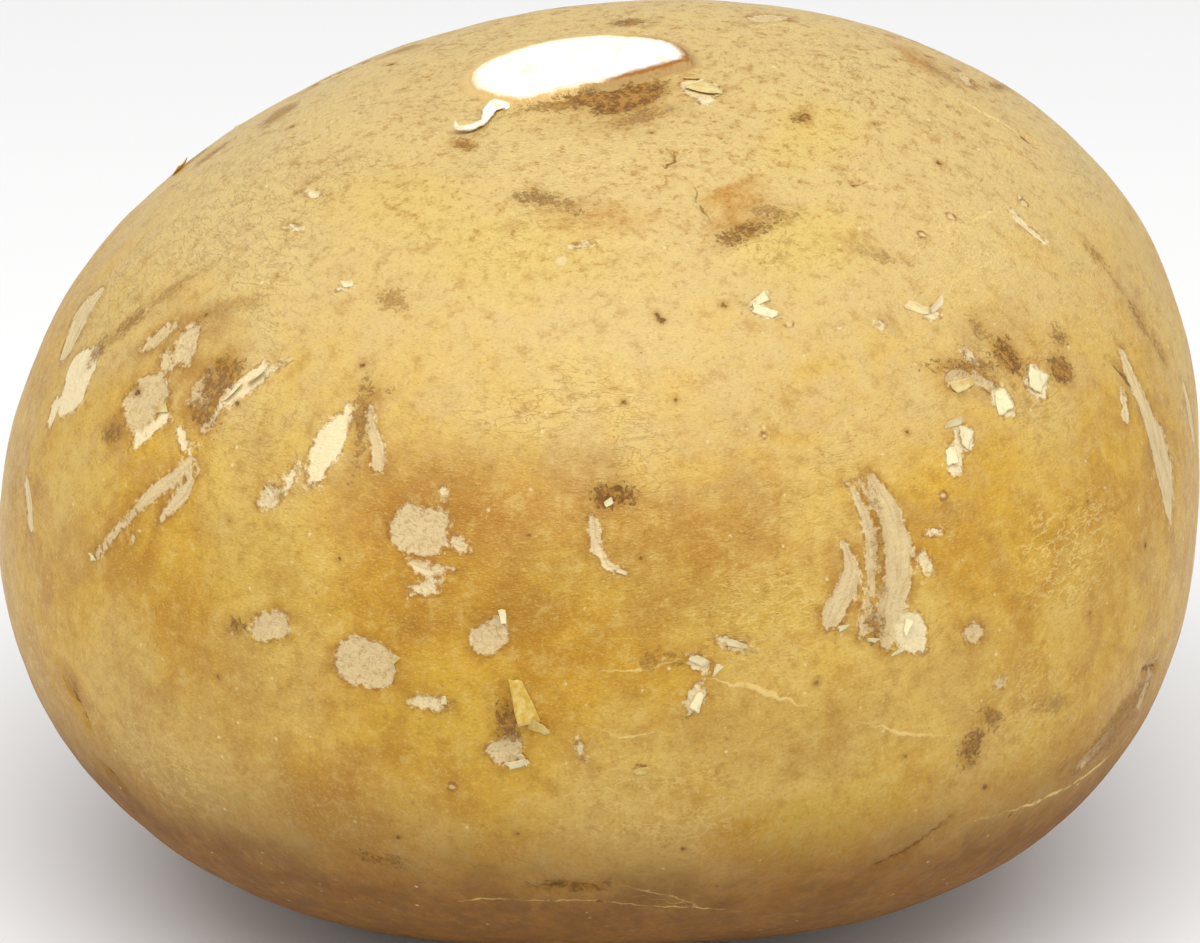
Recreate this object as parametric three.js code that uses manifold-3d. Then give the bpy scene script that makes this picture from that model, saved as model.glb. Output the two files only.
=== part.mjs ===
// A whole jicama root with its stem trimmed to a short stub, resting on a small flat spot underneath.
// Millimetres, +Z up, front towards -Y and right towards +X. The origin is the middle of that spot.
import * as THREE from "three";
import { mergeVertices } from "three/addons/utils/BufferGeometryUtils.js";
import Module from "manifold-3d";

const { degToRad, radToDeg } = THREE.MathUtils;

// The root's overall form, measured from its widest level.
const HALF_WIDTH = 69; // along X
const HALF_DEPTH = 66; // along Y
const TOP_HEIGHT = 51.5;
const BOTTOM_DEPTH = 44;
const FULLNESS = 2.2; // 2 gives an ellipsoid, and more a squarer profile
const SPOT_SINK = 1.3; // how much of the rounded underside the resting spot flattens

// Soft swellings and, where the height is negative, hollows that make the root uneven. The middle of
// each lies `around` degrees from the front towards +X and `up` degrees above the widest level. It stands
// `height` millimetres out of the plain form, and fades to about a third of that `spread` degrees away.
const SWELLINGS = [
  { name: "right_cheek", around: 90, up: 0, height: -2, spread: 30 },
  { name: "right_shoulder", around: 105, up: 30, height: 4, spread: 30 },
  { name: "right_brow", around: 125, up: 55, height: 2.5, spread: 30 },
  { name: "back_brow", around: 180, up: 68, height: 2, spread: 30 },
  { name: "left_shoulder", around: -105, up: 30, height: -1.7, spread: 30 },
  { name: "left_heel", around: -75, up: -30, height: 2, spread: 30 },
  { name: "left_foot", around: -55, up: -55, height: 4.4, spread: 30 },
  { name: "front_foot", around: -5, up: -68, height: -1.5, spread: 30 },
  { name: "right_foot", around: 50, up: -55, height: 3, spread: 30 },
  { name: "right_heel", around: 75, up: -30, height: 2.7, spread: 30 },
  { name: "back_cheek", around: 160, up: 2, height: 2, spread: 32 },
  { name: "back_hollow", around: -150, up: 12, height: -2.2, spread: 26 },
  { name: "back_foot", around: -170, up: -45, height: 1.8, spread: 28 },
  { name: "underside", around: 0, up: -90, height: 1.8, spread: 22 },
  { name: "root_scar", around: 172, up: -60, height: -1.6, spread: 7 },
];

// The stub that is left of the stem, in a shallow hollow of the crown.
const STUB_X = -2; // its middle, beside the root's own axis
const STUB_HALF_WIDTH = 12; // along X
const STUB_HALF_DEPTH = 10; // along Y
const STUB_TILT = 6; // degrees that the cut slopes down towards -X
const STUB_LIP = 0.549; // how far the cut's low edge stands above the skin
const STUB_FLARE = 2.5; // radius of the fillet between the stub's wall and the skin
const STUB_FOOT = 1; // how far below the skin at the stub's middle the fillet starts
const HOLLOW_DEPTH = 2;
const HOLLOW_SPREAD = 16; // degrees, as in the swellings

// How finely the surfaces are faceted.
const SKIN_SEGMENTS = 84;
const SKIN_ROWS = 42;
const STUB_SEGMENTS = 60;
const FILLET_STEPS = 6;
const HEIGHT_STEPS = 12; // steps that settle the skin's height over a point

const wasm = await Module();
wasm.setup();

const crown = new THREE.Vector3(STUB_X, 0, TOP_HEIGHT).normalize();
const bumps = SWELLINGS.map(({ around, up, height, spread }) => ({
  axis: new THREE.Vector3(0, -1, 0)
    .applyAxisAngle(new THREE.Vector3(-1, 0, 0), degToRad(up))
    .applyAxisAngle(new THREE.Vector3(0, 0, 1), degToRad(around)),
  height,
  spread,
}));
bumps.push({ axis: crown, height: -HOLLOW_DEPTH, spread: HOLLOW_SPREAD });

// The distance from the middle of the widest level to the skin, in a direction of length one.
function skinRadius(direction) {
  const across = Math.hypot(direction.x / HALF_WIDTH, direction.y / HALF_DEPTH);
  const along = Math.abs(direction.z) / (direction.z > 0 ? TOP_HEIGHT : BOTTOM_DEPTH);
  const plain = (across ** FULLNESS + along ** FULLNESS) ** (-1 / FULLNESS);
  return bumps.reduce((radius, { axis, height, spread }) => {
    const away = radToDeg(direction.angleTo(axis)) / spread;
    return radius + height * Math.exp(-(away ** 2));
  }, plain);
}

// The height of the skin above the widest level, over a point near the crown.
function skinHeight(x, y) {
  const direction = new THREE.Vector3(x, y, TOP_HEIGHT).normalize();
  let height = TOP_HEIGHT;
  for (let step = 0; step < HEIGHT_STEPS; step++) {
    height = Math.sqrt(skinRadius(direction) ** 2 - x ** 2 - y ** 2);
    direction.set(x, y, height).normalize();
  }
  return height;
}

// A closed geometry as a solid that can be joined and cut, and a solid as a geometry again.
function toSolid(geometry) {
  const bare = geometry.clone();
  bare.deleteAttribute("normal");
  bare.deleteAttribute("uv");
  const merged = mergeVertices(bare);
  return new wasm.Manifold(
    new wasm.Mesh({
      numProp: 3,
      vertProperties: merged.attributes.position.array,
      triVerts: new Uint32Array(merged.index.array),
    }),
  );
}

function toGeometry(solid) {
  const mesh = solid.getMesh();
  return new THREE.BufferGeometry()
    .setAttribute("position", new THREE.BufferAttribute(mesh.vertProperties, 3))
    .setIndex(new THREE.BufferAttribute(mesh.triVerts, 1));
}

// The skin all round: a sphere's rows and columns, each point moved out to the skin.
function rootGeometry() {
  const geometry = new THREE.SphereGeometry(1, SKIN_SEGMENTS, SKIN_ROWS).rotateX(Math.PI / 2);
  const position = geometry.attributes.position;
  const point = new THREE.Vector3();
  for (let i = 0; i < position.count; i++) {
    point.fromBufferAttribute(position, i).normalize();
    point.multiplyScalar(skinRadius(point));
    position.setXYZ(i, point.x, point.y, point.z);
  }
  return geometry;
}

// The stub: an oval column with a filleted foot, seated on the crown and sliced by a sloping plane that
// clears the skin where the cut is lowest.
function stubSolid() {
  const seat = crown.clone().multiplyScalar(skinRadius(crown));
  const slope = STUB_HALF_WIDTH * Math.tan(degToRad(STUB_TILT));
  const lowEdge = skinHeight(seat.x - STUB_HALF_WIDTH, seat.y) + STUB_LIP;
  const cutRise = lowEdge + slope - seat.z;
  const columnTop = cutRise + 2 * slope + STUB_FLARE;
  const footRadius = STUB_HALF_WIDTH + STUB_FLARE;
  const fillet = new THREE.Path()
    .absarc(footRadius, STUB_FLARE - STUB_FOOT, STUB_FLARE, 1.5 * Math.PI, Math.PI, true)
    .getPoints(FILLET_STEPS);
  const profile = [
    new THREE.Vector2(0, -footRadius),
    new THREE.Vector2(footRadius, -footRadius),
    ...fillet,
    new THREE.Vector2(STUB_HALF_WIDTH, columnTop),
    new THREE.Vector2(0, columnTop),
  ];
  const column = new THREE.LatheGeometry(profile, STUB_SEGMENTS)
    .rotateX(Math.PI / 2)
    .scale(1, STUB_HALF_DEPTH / STUB_HALF_WIDTH, 1);

  const knifeSize = 4 * footRadius;
  const knife = new THREE.BoxGeometry(knifeSize, knifeSize, knifeSize)
    .translate(0, 0, knifeSize / 2)
    .rotateY(-degToRad(STUB_TILT))
    .translate(0, 0, cutRise);

  return toSolid(column).subtract(toSolid(knife)).translate(seat.x, seat.y, seat.z);
}

// The root with its stub, flattened underneath, with the middle of the resting spot at the origin.
function jicamaGeometry() {
  const root = rootGeometry();
  root.computeBoundingBox();
  const spotLevel = root.boundingBox.min.z + SPOT_SINK;
  const floorSize = 4 * Math.max(HALF_WIDTH, HALF_DEPTH);
  const floor = new THREE.BoxGeometry(floorSize, floorSize, floorSize);
  floor.translate(0, 0, spotLevel - floorSize / 2);

  const geometry = toGeometry(toSolid(root).add(stubSolid()).subtract(toSolid(floor)));
  const spot = new THREE.Box3();
  const position = geometry.attributes.position;
  const point = new THREE.Vector3();
  for (let i = 0; i < position.count; i++) {
    point.fromBufferAttribute(position, i);
    if (point.z < spotLevel + SPOT_SINK / 1000) spot.expandByPoint(point);
  }
  const middle = spot.getCenter(new THREE.Vector3());
  return geometry.translate(-middle.x, -middle.y, -spotLevel);
}

const skin = new THREE.MeshStandardMaterial({
  color: 0xd0a455,
  roughness: 0.55,
  metalness: 0,
});
const jicama = new THREE.Mesh(jicamaGeometry(), skin);
jicama.name = "jicama";

const part = new THREE.Group();
part.add(jicama);

export default part;
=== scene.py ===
"""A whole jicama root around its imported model: mottled skin, a trimmed stub, scuffs, soil and loose flakes.

Places on the root are two angles seen from its core: `around`, from the front (-Y) towards +X, and `up`,
above the level of the core. Sizes on the root are in millimetres, and Blender's objects are in metres.
"""

import itertools
import math
from types import SimpleNamespace

import bpy
import numpy as np
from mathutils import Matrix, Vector


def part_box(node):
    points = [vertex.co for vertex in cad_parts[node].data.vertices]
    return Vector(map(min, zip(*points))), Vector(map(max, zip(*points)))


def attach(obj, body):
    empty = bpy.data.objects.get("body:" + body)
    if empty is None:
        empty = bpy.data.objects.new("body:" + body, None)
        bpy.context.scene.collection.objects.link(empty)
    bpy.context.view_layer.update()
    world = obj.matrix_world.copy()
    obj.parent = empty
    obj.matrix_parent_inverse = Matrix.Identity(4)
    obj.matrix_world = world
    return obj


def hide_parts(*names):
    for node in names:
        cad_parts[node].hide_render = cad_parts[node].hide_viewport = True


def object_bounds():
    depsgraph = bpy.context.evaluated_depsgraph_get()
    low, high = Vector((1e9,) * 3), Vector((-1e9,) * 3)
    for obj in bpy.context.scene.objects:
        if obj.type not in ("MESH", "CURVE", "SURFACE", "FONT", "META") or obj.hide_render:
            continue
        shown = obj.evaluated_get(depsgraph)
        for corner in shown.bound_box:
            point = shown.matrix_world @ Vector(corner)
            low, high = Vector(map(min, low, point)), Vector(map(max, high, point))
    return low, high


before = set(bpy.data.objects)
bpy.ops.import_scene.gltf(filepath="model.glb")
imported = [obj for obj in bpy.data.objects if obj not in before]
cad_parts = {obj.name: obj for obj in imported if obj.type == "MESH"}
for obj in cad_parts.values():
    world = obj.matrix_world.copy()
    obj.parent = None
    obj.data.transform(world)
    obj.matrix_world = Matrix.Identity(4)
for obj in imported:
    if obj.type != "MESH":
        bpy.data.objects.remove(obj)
cad_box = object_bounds()

MM = 0.001
NODE = "jicama"
TOP_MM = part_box(NODE)[1].z / MM

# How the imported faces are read: the stub's cut is the widest plane near the top.
STUB_ZONE = 0.8  # share of the height above which the stub lies
STUB_REACH = 1.22  # the stub and its fillet end this many cut radii from the stub's middle
STUB_SURROUND = 1.3  # the skin round the stub is read out to this many times that reach
CUT_UPRIGHT = 0.9  # least upward share of the normals of the cut's faces
SPOT_CLEAR = 0.2  # the skin is read from this height up, clear of the resting spot
ANCHOR_WEIGHT = 20  # how many corners the guesses under the stub and the spot count for
UNDERSIDE = -0.5  # directions with a lower upward share than this point at the underside
FORM_DEGREE = 11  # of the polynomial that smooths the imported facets
SPOT_BULGE = 1.2  # how far the underside would hang below the resting spot if nothing flattened it

# The fine mesh.
COLUMNS = 400
FRONT_CROWDING = 0.25  # columns stand this share closer at the front, and wider at the back
ROW_STEP = 0.8
CUT_ROWS = 22
WALL_STEPS = (1.0, 1.008, 1.016, 1.025, 1.035, 1.05, 1.08, 1.12, 1.17, 1.23, 1.3)  # in cut radii
FAR = 6.0  # a distance that means nowhere near a mark


# ----------------------------------------------------------------------------
# Numbers that vary smoothly over the root
# ----------------------------------------------------------------------------


def step(low, high, x):
    """0 below low and 1 above high, with a smooth rise between, or the other way round if high is smaller."""
    t = np.clip((np.asarray(x, float) - low) / (high - low), 0, 1)
    return t * t * (3 - 2 * t)


def noise(points, size, seed=0, octaves=1):
    """Smooth noise from about -1 to 1, whose lumps are `size` millimetres wide, with finer octaves on top."""
    total, weight, reach = 0.0, 1.0, 0.0
    for octave in range(octaves):
        cells = points * (2**octave / size) + 17.3 * seed + 5.1 * octave
        corner = np.floor(cells).astype(np.int64)
        part = cells - corner
        ease = part * part * (3 - 2 * part)
        value = 0.0
        for offset in itertools.product((0, 1), repeat=3):
            x, y, z = (corner + offset).T
            mixed = (x * 73856093) ^ (y * 19349663) ^ (z * 83492791) ^ ((seed + octave) * 2654435761)
            mixed = ((mixed ^ (mixed >> 13)) * 1274126177) & 0xFFFFFFFF
            mixed = ((mixed ^ (mixed >> 16)) * 73244475) & 0xFFFFFFFF
            share = np.prod(np.where(offset, ease, 1 - ease), axis=1)
            value = value + share * ((mixed >> 8) / 8388608.0 - 1)
        total = total + weight * value
        reach += weight
        weight *= 0.5
    return total / reach


# ----------------------------------------------------------------------------
# The form of the root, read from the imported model
# ----------------------------------------------------------------------------


def towards(around, up):
    """The direction of length one at those angles."""
    a, u = np.radians(around), np.radians(up)
    return np.stack([np.sin(a) * np.cos(u), -np.cos(a) * np.cos(u), np.sin(u) + 0 * a], axis=-1)


class Form:
    """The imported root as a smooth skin, with the plane and the oval of the stub's cut."""

    def __init__(self, node):
        mesh = node.data
        points = np.array([v.co for v in mesh.vertices]) / MM
        self._read_cut(mesh, points)
        self.core = np.array([*self.cut_middle[:2], TOP_MM / 2])
        self._fit_skin(points)

    def _read_cut(self, mesh, points):
        above = STUB_ZONE * TOP_MM * MM
        faces = [f for f in mesh.polygons if f.normal.z > CUT_UPRIGHT and f.center.z > above]
        spans = {}
        for face in faces:
            key = tuple(round(x, 2) for x in face.normal)
            spans.setdefault(key, []).append(face)
        cut = max(spans.values(), key=lambda group: sum(f.area for f in group))
        rim = points[sorted({i for f in cut for i in f.vertices})]
        normal = sum((f.normal * f.area for f in cut), Vector()).normalized()
        self.cut_normal = np.array(normal)
        self.cut_level = float(np.median(rim @ self.cut_normal))
        low, high = rim.min(axis=0), rim.max(axis=0)
        self.cut_middle = (low + high) / 2
        self.cut_half = (high[:2] - low[:2]) / 2

    def _fit_skin(self, points):
        beside = np.hypot(*((points[:, :2] - self.cut_middle[:2]) / self.cut_half).T)
        is_crown = points[:, 2] > STUB_ZONE * TOP_MM
        is_stub = is_crown & (beside < STUB_REACH)
        is_round_stub = is_crown & (beside < STUB_SURROUND * STUB_REACH) & ~is_stub
        skin = points[~is_stub & (points[:, 2] > SPOT_CLEAR)]
        under_stub = np.array([*self.core[:2], points[is_round_stub, 2].mean()])
        under_spot = np.array([self.core[0], self.core[1], -SPOT_BULGE])
        anchors = np.repeat([under_stub, under_spot], ANCHOR_WEIGHT, axis=0)
        samples = np.vstack([skin, anchors])
        offsets = samples - self.core
        radii = np.linalg.norm(offsets, axis=1)
        directions = offsets / radii[:, None]
        basis = self._basis(directions)
        self.weights = np.linalg.lstsq(basis, radii, rcond=1e-9)[0]
        self._find_root_scar(directions, radii - basis @ self.weights)

    def _find_root_scar(self, directions, misfit):
        """The scar is the one dent of the underside that is too small for the smooth skin to follow."""
        low = directions[:, 2] < UNDERSIDE
        self.scar = directions[np.argmin(np.where(low, misfit, 0))]

    @staticmethod
    def _basis(directions):
        x, y, z = directions.T
        most = FORM_DEGREE + 1
        powers = [(i, j, k) for k in (0, 1) for i in range(most - k) for j in range(most - k - i)]
        xs, ys = ([axis**p for p in range(most)] for axis in (x, y))
        return np.stack([xs[i] * ys[j] * (z if k else 1) for i, j, k in powers], axis=1)

    def point(self, directions):
        """Where the smooth skin lies in those directions, before the resting spot flattens it."""
        directions = np.atleast_2d(directions)
        return self.core + directions * (self._basis(directions) @ self.weights)[:, None]

    def place(self, around, up, turn=0.0):
        """A spot on the skin: its middle, the direction `turn` degrees up from sideways, the direction square
        to that on the skin, and the outward normal."""
        nudge = 0.5
        corners = towards(np.array([around, around - nudge, around + nudge, around, around]),
                          np.array([up, up, up, up - nudge, up + nudge]))
        middle, left, right, below, above = self.point(corners)
        sideways = (right - left) / np.linalg.norm(right - left)
        out = np.cross(sideways, above - below)
        out /= np.linalg.norm(out)
        upwards = np.cross(out, sideways)
        along = math.cos(math.radians(turn)) * sideways + math.sin(math.radians(turn)) * upwards
        return middle, along, np.cross(out, along), out

    def cut_height(self, points):
        """How high the plane of the cut lies above those points."""
        nx, ny, nz = self.cut_normal
        return (self.cut_level - points[:, 0] * nx - points[:, 1] * ny) / nz - points[:, 2]


form = Form(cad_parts[NODE])


# ----------------------------------------------------------------------------
# The fine mesh of the bare skin and stub
# ----------------------------------------------------------------------------


def column_angles():
    """Radians round the core, from the front towards +X, closer together at the front."""
    even = np.linspace(0, 2 * math.pi, COLUMNS, endpoint=False)
    return even - FRONT_CROWDING * np.sin(even)


def oval_radius(angles):
    """The radius of the stub's cut at those angles."""
    half_x, half_y = form.cut_half
    return 1 / np.hypot(np.sin(angles) / half_x, np.cos(angles) / half_y)


def skin_at(tilts, angles):
    """Skin points at angles `tilts` from straight up and `angles` round the core, both in radians."""
    level = np.sin(tilts)
    directions = np.stack([level * np.sin(angles), -level * np.cos(angles), np.cos(tilts)], axis=-1)
    return form.point(directions.reshape(-1, 3)).reshape(*directions.shape)


def tilt_at_reach(reach, angles):
    """The angle from straight up at which the skin lies `reach` millimetres from the stub's axis."""
    tilts = np.arctan(reach / (TOP_MM / 2))
    for _ in range(4):
        points = skin_at(tilts, angles)
        now = np.hypot(*(points[..., :2] - form.core[:2]).reshape(-1, 2).T).reshape(tilts.shape)
        tilts = tilts * reach / np.maximum(now, 1e-6)
    return tilts


def body_tilts(start):
    """Angles from straight up of the rows below the stub, about ROW_STEP apart on the skin."""
    fine = np.linspace(start, math.pi, 2000)
    line = skin_at(fine, np.zeros_like(fine))
    length = np.concatenate([[0], np.cumsum(np.linalg.norm(np.diff(line, axis=0), axis=1))])
    rows = int(length[-1] / ROW_STEP)
    return np.interp(np.linspace(0, length[-1], rows + 1)[1:-1], length, fine)


def cut_radii(points):
    """How far the points are from the stub's axis, in cut radii."""
    return np.hypot(*np.moveaxis((points[..., :2] - form.core[:2]) / form.cut_half, -1, 0))


def bare_grid():
    """Rows of points from the middle of the cut to the underside, and each point's reach in cut radii."""
    angles = column_angles()
    cut_reaches = np.linspace(0, 1, CUT_ROWS + 1)[1:-1]
    reaches = np.concatenate([cut_reaches, WALL_STEPS])
    radius = oval_radius(angles)
    near = tilt_at_reach(reaches[:, None] * radius[None, :], np.tile(angles, (len(reaches), 1)))
    last = near[-1]
    below = body_tilts(float(last.mean()))
    settle = step(0, 0.15, np.linspace(0, 1, len(below)))[:, None]
    far = below[:, None] + (last - last.mean())[None, :] * (1 - settle)
    tilts = np.vstack([near, far])
    points = skin_at(tilts, np.tile(angles, (len(tilts), 1)))
    reach = cut_radii(points)
    reach[len(near):] = np.maximum(reach[len(near):], WALL_STEPS[-1])
    return points, reach


def grid_faces(rows, columns):
    """Quads between the rows, and triangles round the first and last point, which are the two poles."""
    first, last = rows * columns, rows * columns + 1
    faces = []
    for j in range(columns):
        k = (j + 1) % columns
        faces.append((first, j, k))
        for row in range(0, first - columns, columns):
            faces.append((row + j, row + columns + j, row + columns + k, row + k))
        faces.append((last, (rows - 1) * columns + k, (rows - 1) * columns + j))
    return faces


def grid_normals(points):
    """Outward normals of a grid that closes on itself sideways."""
    down = np.gradient(points, axis=0)
    side = np.roll(points, -1, axis=1) - np.roll(points, 1, axis=1)
    normals = np.cross(down, side)
    return normals / np.maximum(np.linalg.norm(normals, axis=-1, keepdims=True), 1e-12)


# ----------------------------------------------------------------------------
# Marks on the skin
# ----------------------------------------------------------------------------

# Places where the skin is scuffed off: name, around, up, length, width, turn, tone. Tone 0 is bare grey-tan
# fibre and 1 is a clean cream layer.
PATCHES = [
    ("left_rim_cream", -68, 18, 7.5, 6.5, -60, 1.0),
    ("left_rim_tail", -70, 14, 4.0, 2.0, -70, 0.9),
    ("grey_wedge", -52.5, 27.3, 5.2, 3.4, -64, 0.35),
    ("grey_wedge_foot", -54, 25, 3.2, 1.6, -30, 0.4),
    ("speckled", -58, 26.5, 4.5, 2.0, -118, 0.2),
    ("grey_field", -54, 20.5, 6.5, 5.4, -117, 0.1),
    ("grey_field_rim", -51, 18.5, 5.2, 1.6, -125, 0.9),
    ("rough_field", -46, 24, 6.0, 3.6, -98, 0.05),
    ("cream_flag", -41, 25.7, 6.2, 2.3, -122, 1.0),
    ("cream_flag_top", -38, 28.5, 3.0, 0.9, -125, 0.9),
    ("bright_flag", -28, 21.6, 7.4, 2.9, -98, 1.0),
    ("bright_flag_tip", -26.5, 25.5, 2.6, 1.1, -80, 0.9),
    ("small_cream_top", -31, 18.8, 3.4, 1.1, -108, 0.8),
    ("small_cream_foot", -33, 16.2, 2.8, 2.1, -120, 0.5),
    ("pale_chip", -35, 39, 2.0, 0.9, 20, 0.9),
    ("round_patch", -16, 15.8, 6.6, 5.0, 5, 0.3),
    ("round_patch_tail", -12, 14.9, 2.6, 1.4, -12, 0.5),
    ("drop_above", -14, 19.5, 1.0, 1.4, 0, 0.7),
    ("lower_chip", -15, 10.4, 2.8, 1.3, 15, 0.6),
    ("oval", -8.3, 6.6, 4.2, 3.2, 35, 0.3),
    ("ragged_square", -20.2, 2.6, 6.6, 5.0, 5, 0.25),
    ("flat_chip", -14, -0.5, 4.4, 1.9, 0, 0.6),
    ("under_peel", -6.8, -4.6, 3.8, 3.0, 40, 0.5),
    ("chip_row_a", 11, 4, 2.6, 1.6, -28, 0.7),
    ("chip_row_b", 10.6, 0.6, 3.4, 1.4, -112, 0.7),
    ("chip_row_c", 14.4, 5.4, 3.0, 1.0, -19, 0.6),
    ("low_chip", 0.1, -4.2, 1.8, 0.8, -78, 0.6),
    ("greypink", -30.5, 4.2, 4.4, 3.0, 20, 0.15),
    ("claw_cream", 31.8, 4, 4.6, 3.6, -98, 0.85),
    ("claw_side", 34, 10, 2.8, 1.2, -70, 0.7),
    ("claw_dash", 35.5, 12.5, 2.0, 0.7, -5, 0.8),
    ("grey_bow", 45, 25.2, 3.6, 2.4, -10, 0.1),
    ("grey_bow_end", 47.6, 24, 3.6, 1.3, -40, 0.2),
    ("cream_block_low", 48.6, 21.8, 2.9, 2.2, -95, 1.0),
    ("cream_block_high", 54.4, 22.2, 3.0, 3.0, 40, 1.0),
    ("pale_pair", 48, 26.5, 2.4, 1.0, -60, 0.8),
    ("shell_chip", 42, 20, 2.4, 2.2, 60, 1.0),
    ("shell_chip_low", 40, 18.5, 3.0, 1.6, -100, 0.9),
    ("torn_light", 46.5, 32, 2.2, 1.4, 0, 0.9),
    ("upper_light", 39, 33, 1.4, 1.2, 0, 0.6),
    ("arrow_a", 24.6, 38.6, 2.6, 0.9, 25, 1.0),
    ("arrow_b", 24.8, 37.4, 3.0, 1.0, -35, 1.0),
    ("crown_flag", 66, 72.6, 4.8, 4.0, 60, 0.6),
    ("crown_flag_low", 59, 71, 2.6, 1.6, 10, 0.8),
    ("pale_low", 38, 2.5, 2.8, 2.2, 0, 0.15),
    ("pale_low_b", 41, -3, 1.6, 1.2, 0, 0.4),
    ("rough_low_right", 57, -14.8, 7.0, 2.0, 25, 0.35),
    ("rough_low_right_top", 65, -12.0, 6.0, 1.6, 60, 0.3),
    ("pale_dash_upper", 0, 48.3, 2.2, 0.8, 15, 0.8),
    ("upper_left_chips", -56, 49, 2.4, 0.9, 10, 0.8),
    ("left_top_chip", -52, 44, 2.2, 0.8, 15, 0.8),
]

# Long scuffs, and one painted highlight: name, tone, then points of (around, up, half width).
STROKES = [
    ("claw_left", 0.35, (26, 13.5, 0.2), (26.5, 11, 0.8), (25.5, 9, 1.2), (24, 7, 1.2), (23.5, 6, 0.5)),
    ("claw_thin", 0.4, (27.8, 19, 0.3), (28.5, 16.5, 0.5), (29, 13.5, 0.6), (28.5, 11, 0.6), (28, 8.5, 0.5)),
    ("claw_thin_foot", 0.3, (27.5, 8, 0.4), (27, 5.5, 0.5), (26.5, 4.5, 0.3)),
    ("claw_broad", 0.3, (30.3, 19, 0.5), (31, 17, 1.0), (31.5, 15, 1.3), (31.6, 12, 1.4), (31, 9, 1.6),
     (29.6, 6, 1.5), (29, 3.5, 0.6)),
    ("claw_upper", 0.5, (29.3, 19, 0.4), (29.6, 17.5, 0.4), (30, 16, 0.3)),
    ("left_long", 0.35, (-43.5, 17.5, 0.5), (-45.5, 15, 0.7), (-48, 12.5, 0.7), (-50.5, 9, 0.5),
     (-53.5, 5, 0.5)),
    ("left_second", 0.4, (-42.5, 17, 0.4), (-43.5, 14, 0.7), (-46, 10.5, 0.4)),
    ("left_crumb", 0.5, (-48.2, 9, 0.3), (-49, 7.6, 0.4)),
    ("right_edge", 0.45, (70, 19.5, 0.6), (69.5, 16, 0.9), (69.5, 12.5, 1.4), (69.5, 8, 1.8), (69.5, 5, 1.4),
     (69, 2, 0.5)),
    ("right_edge_second", 0.45, (71.5, 11.5, 0.5), (71.5, 7, 0.8), (70.5, 4, 0.5)),
    ("right_small", 0.6, (66.5, 16.5, 0.5), (65, 14.5, 0.7)),
    ("right_outer", 0.6, (82, 11, 0.8), (82, 8.5, 1.2), (82, 6, 0.8)),
    ("left_edge", 0.6, (-71, 6, 0.6), (-69, 4.5, 1.0), (-67.5, 2.5, 0.6)),
    ("upright_scar", 0.2, (-24.2, 27, 0.2), (-23.5, 25, 0.4), (-22, 23, 0.6), (-21.5, 21, 0.5)),
    ("centre_streak", 0.4, (1, 18.5, 0.1), (1.5, 17, 0.5), (1.5, 15, 0.4)),
    ("centre_streak_low", 0.6, (2, 15, 0.3), (2.5, 13.3, 0.35), (4, 12.8, 0.35)),
    ("c_mark", 0.9, (-47, 19.6, 0.4), (-45.4, 18.3, 0.4), (-43.5, 18.9, 0.3)),
    ("lower_dash", 0.6, (-16.5, 12.5, 0.3), (-15, 12.1, 0.5), (-12, 12.4, 0.2)),
    ("curl_tail", 0.7, (-43, 23.5, 0.35), (-43, 22, 0.35), (-43.7, 20.7, 0.5)),
    # painted highlight on the left rim, drawn as a pale scuff
    ("rim_shine", 0.5, (-78, 25, 1.0), (-78, 22, 2.4), (-75.5, 19, 1.6)),
    ("upper_right_worm", 0.7, (72, 36.5, 0.35), (71, 34.5, 0.4), (71.5, 32, 0.35)),
]
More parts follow.
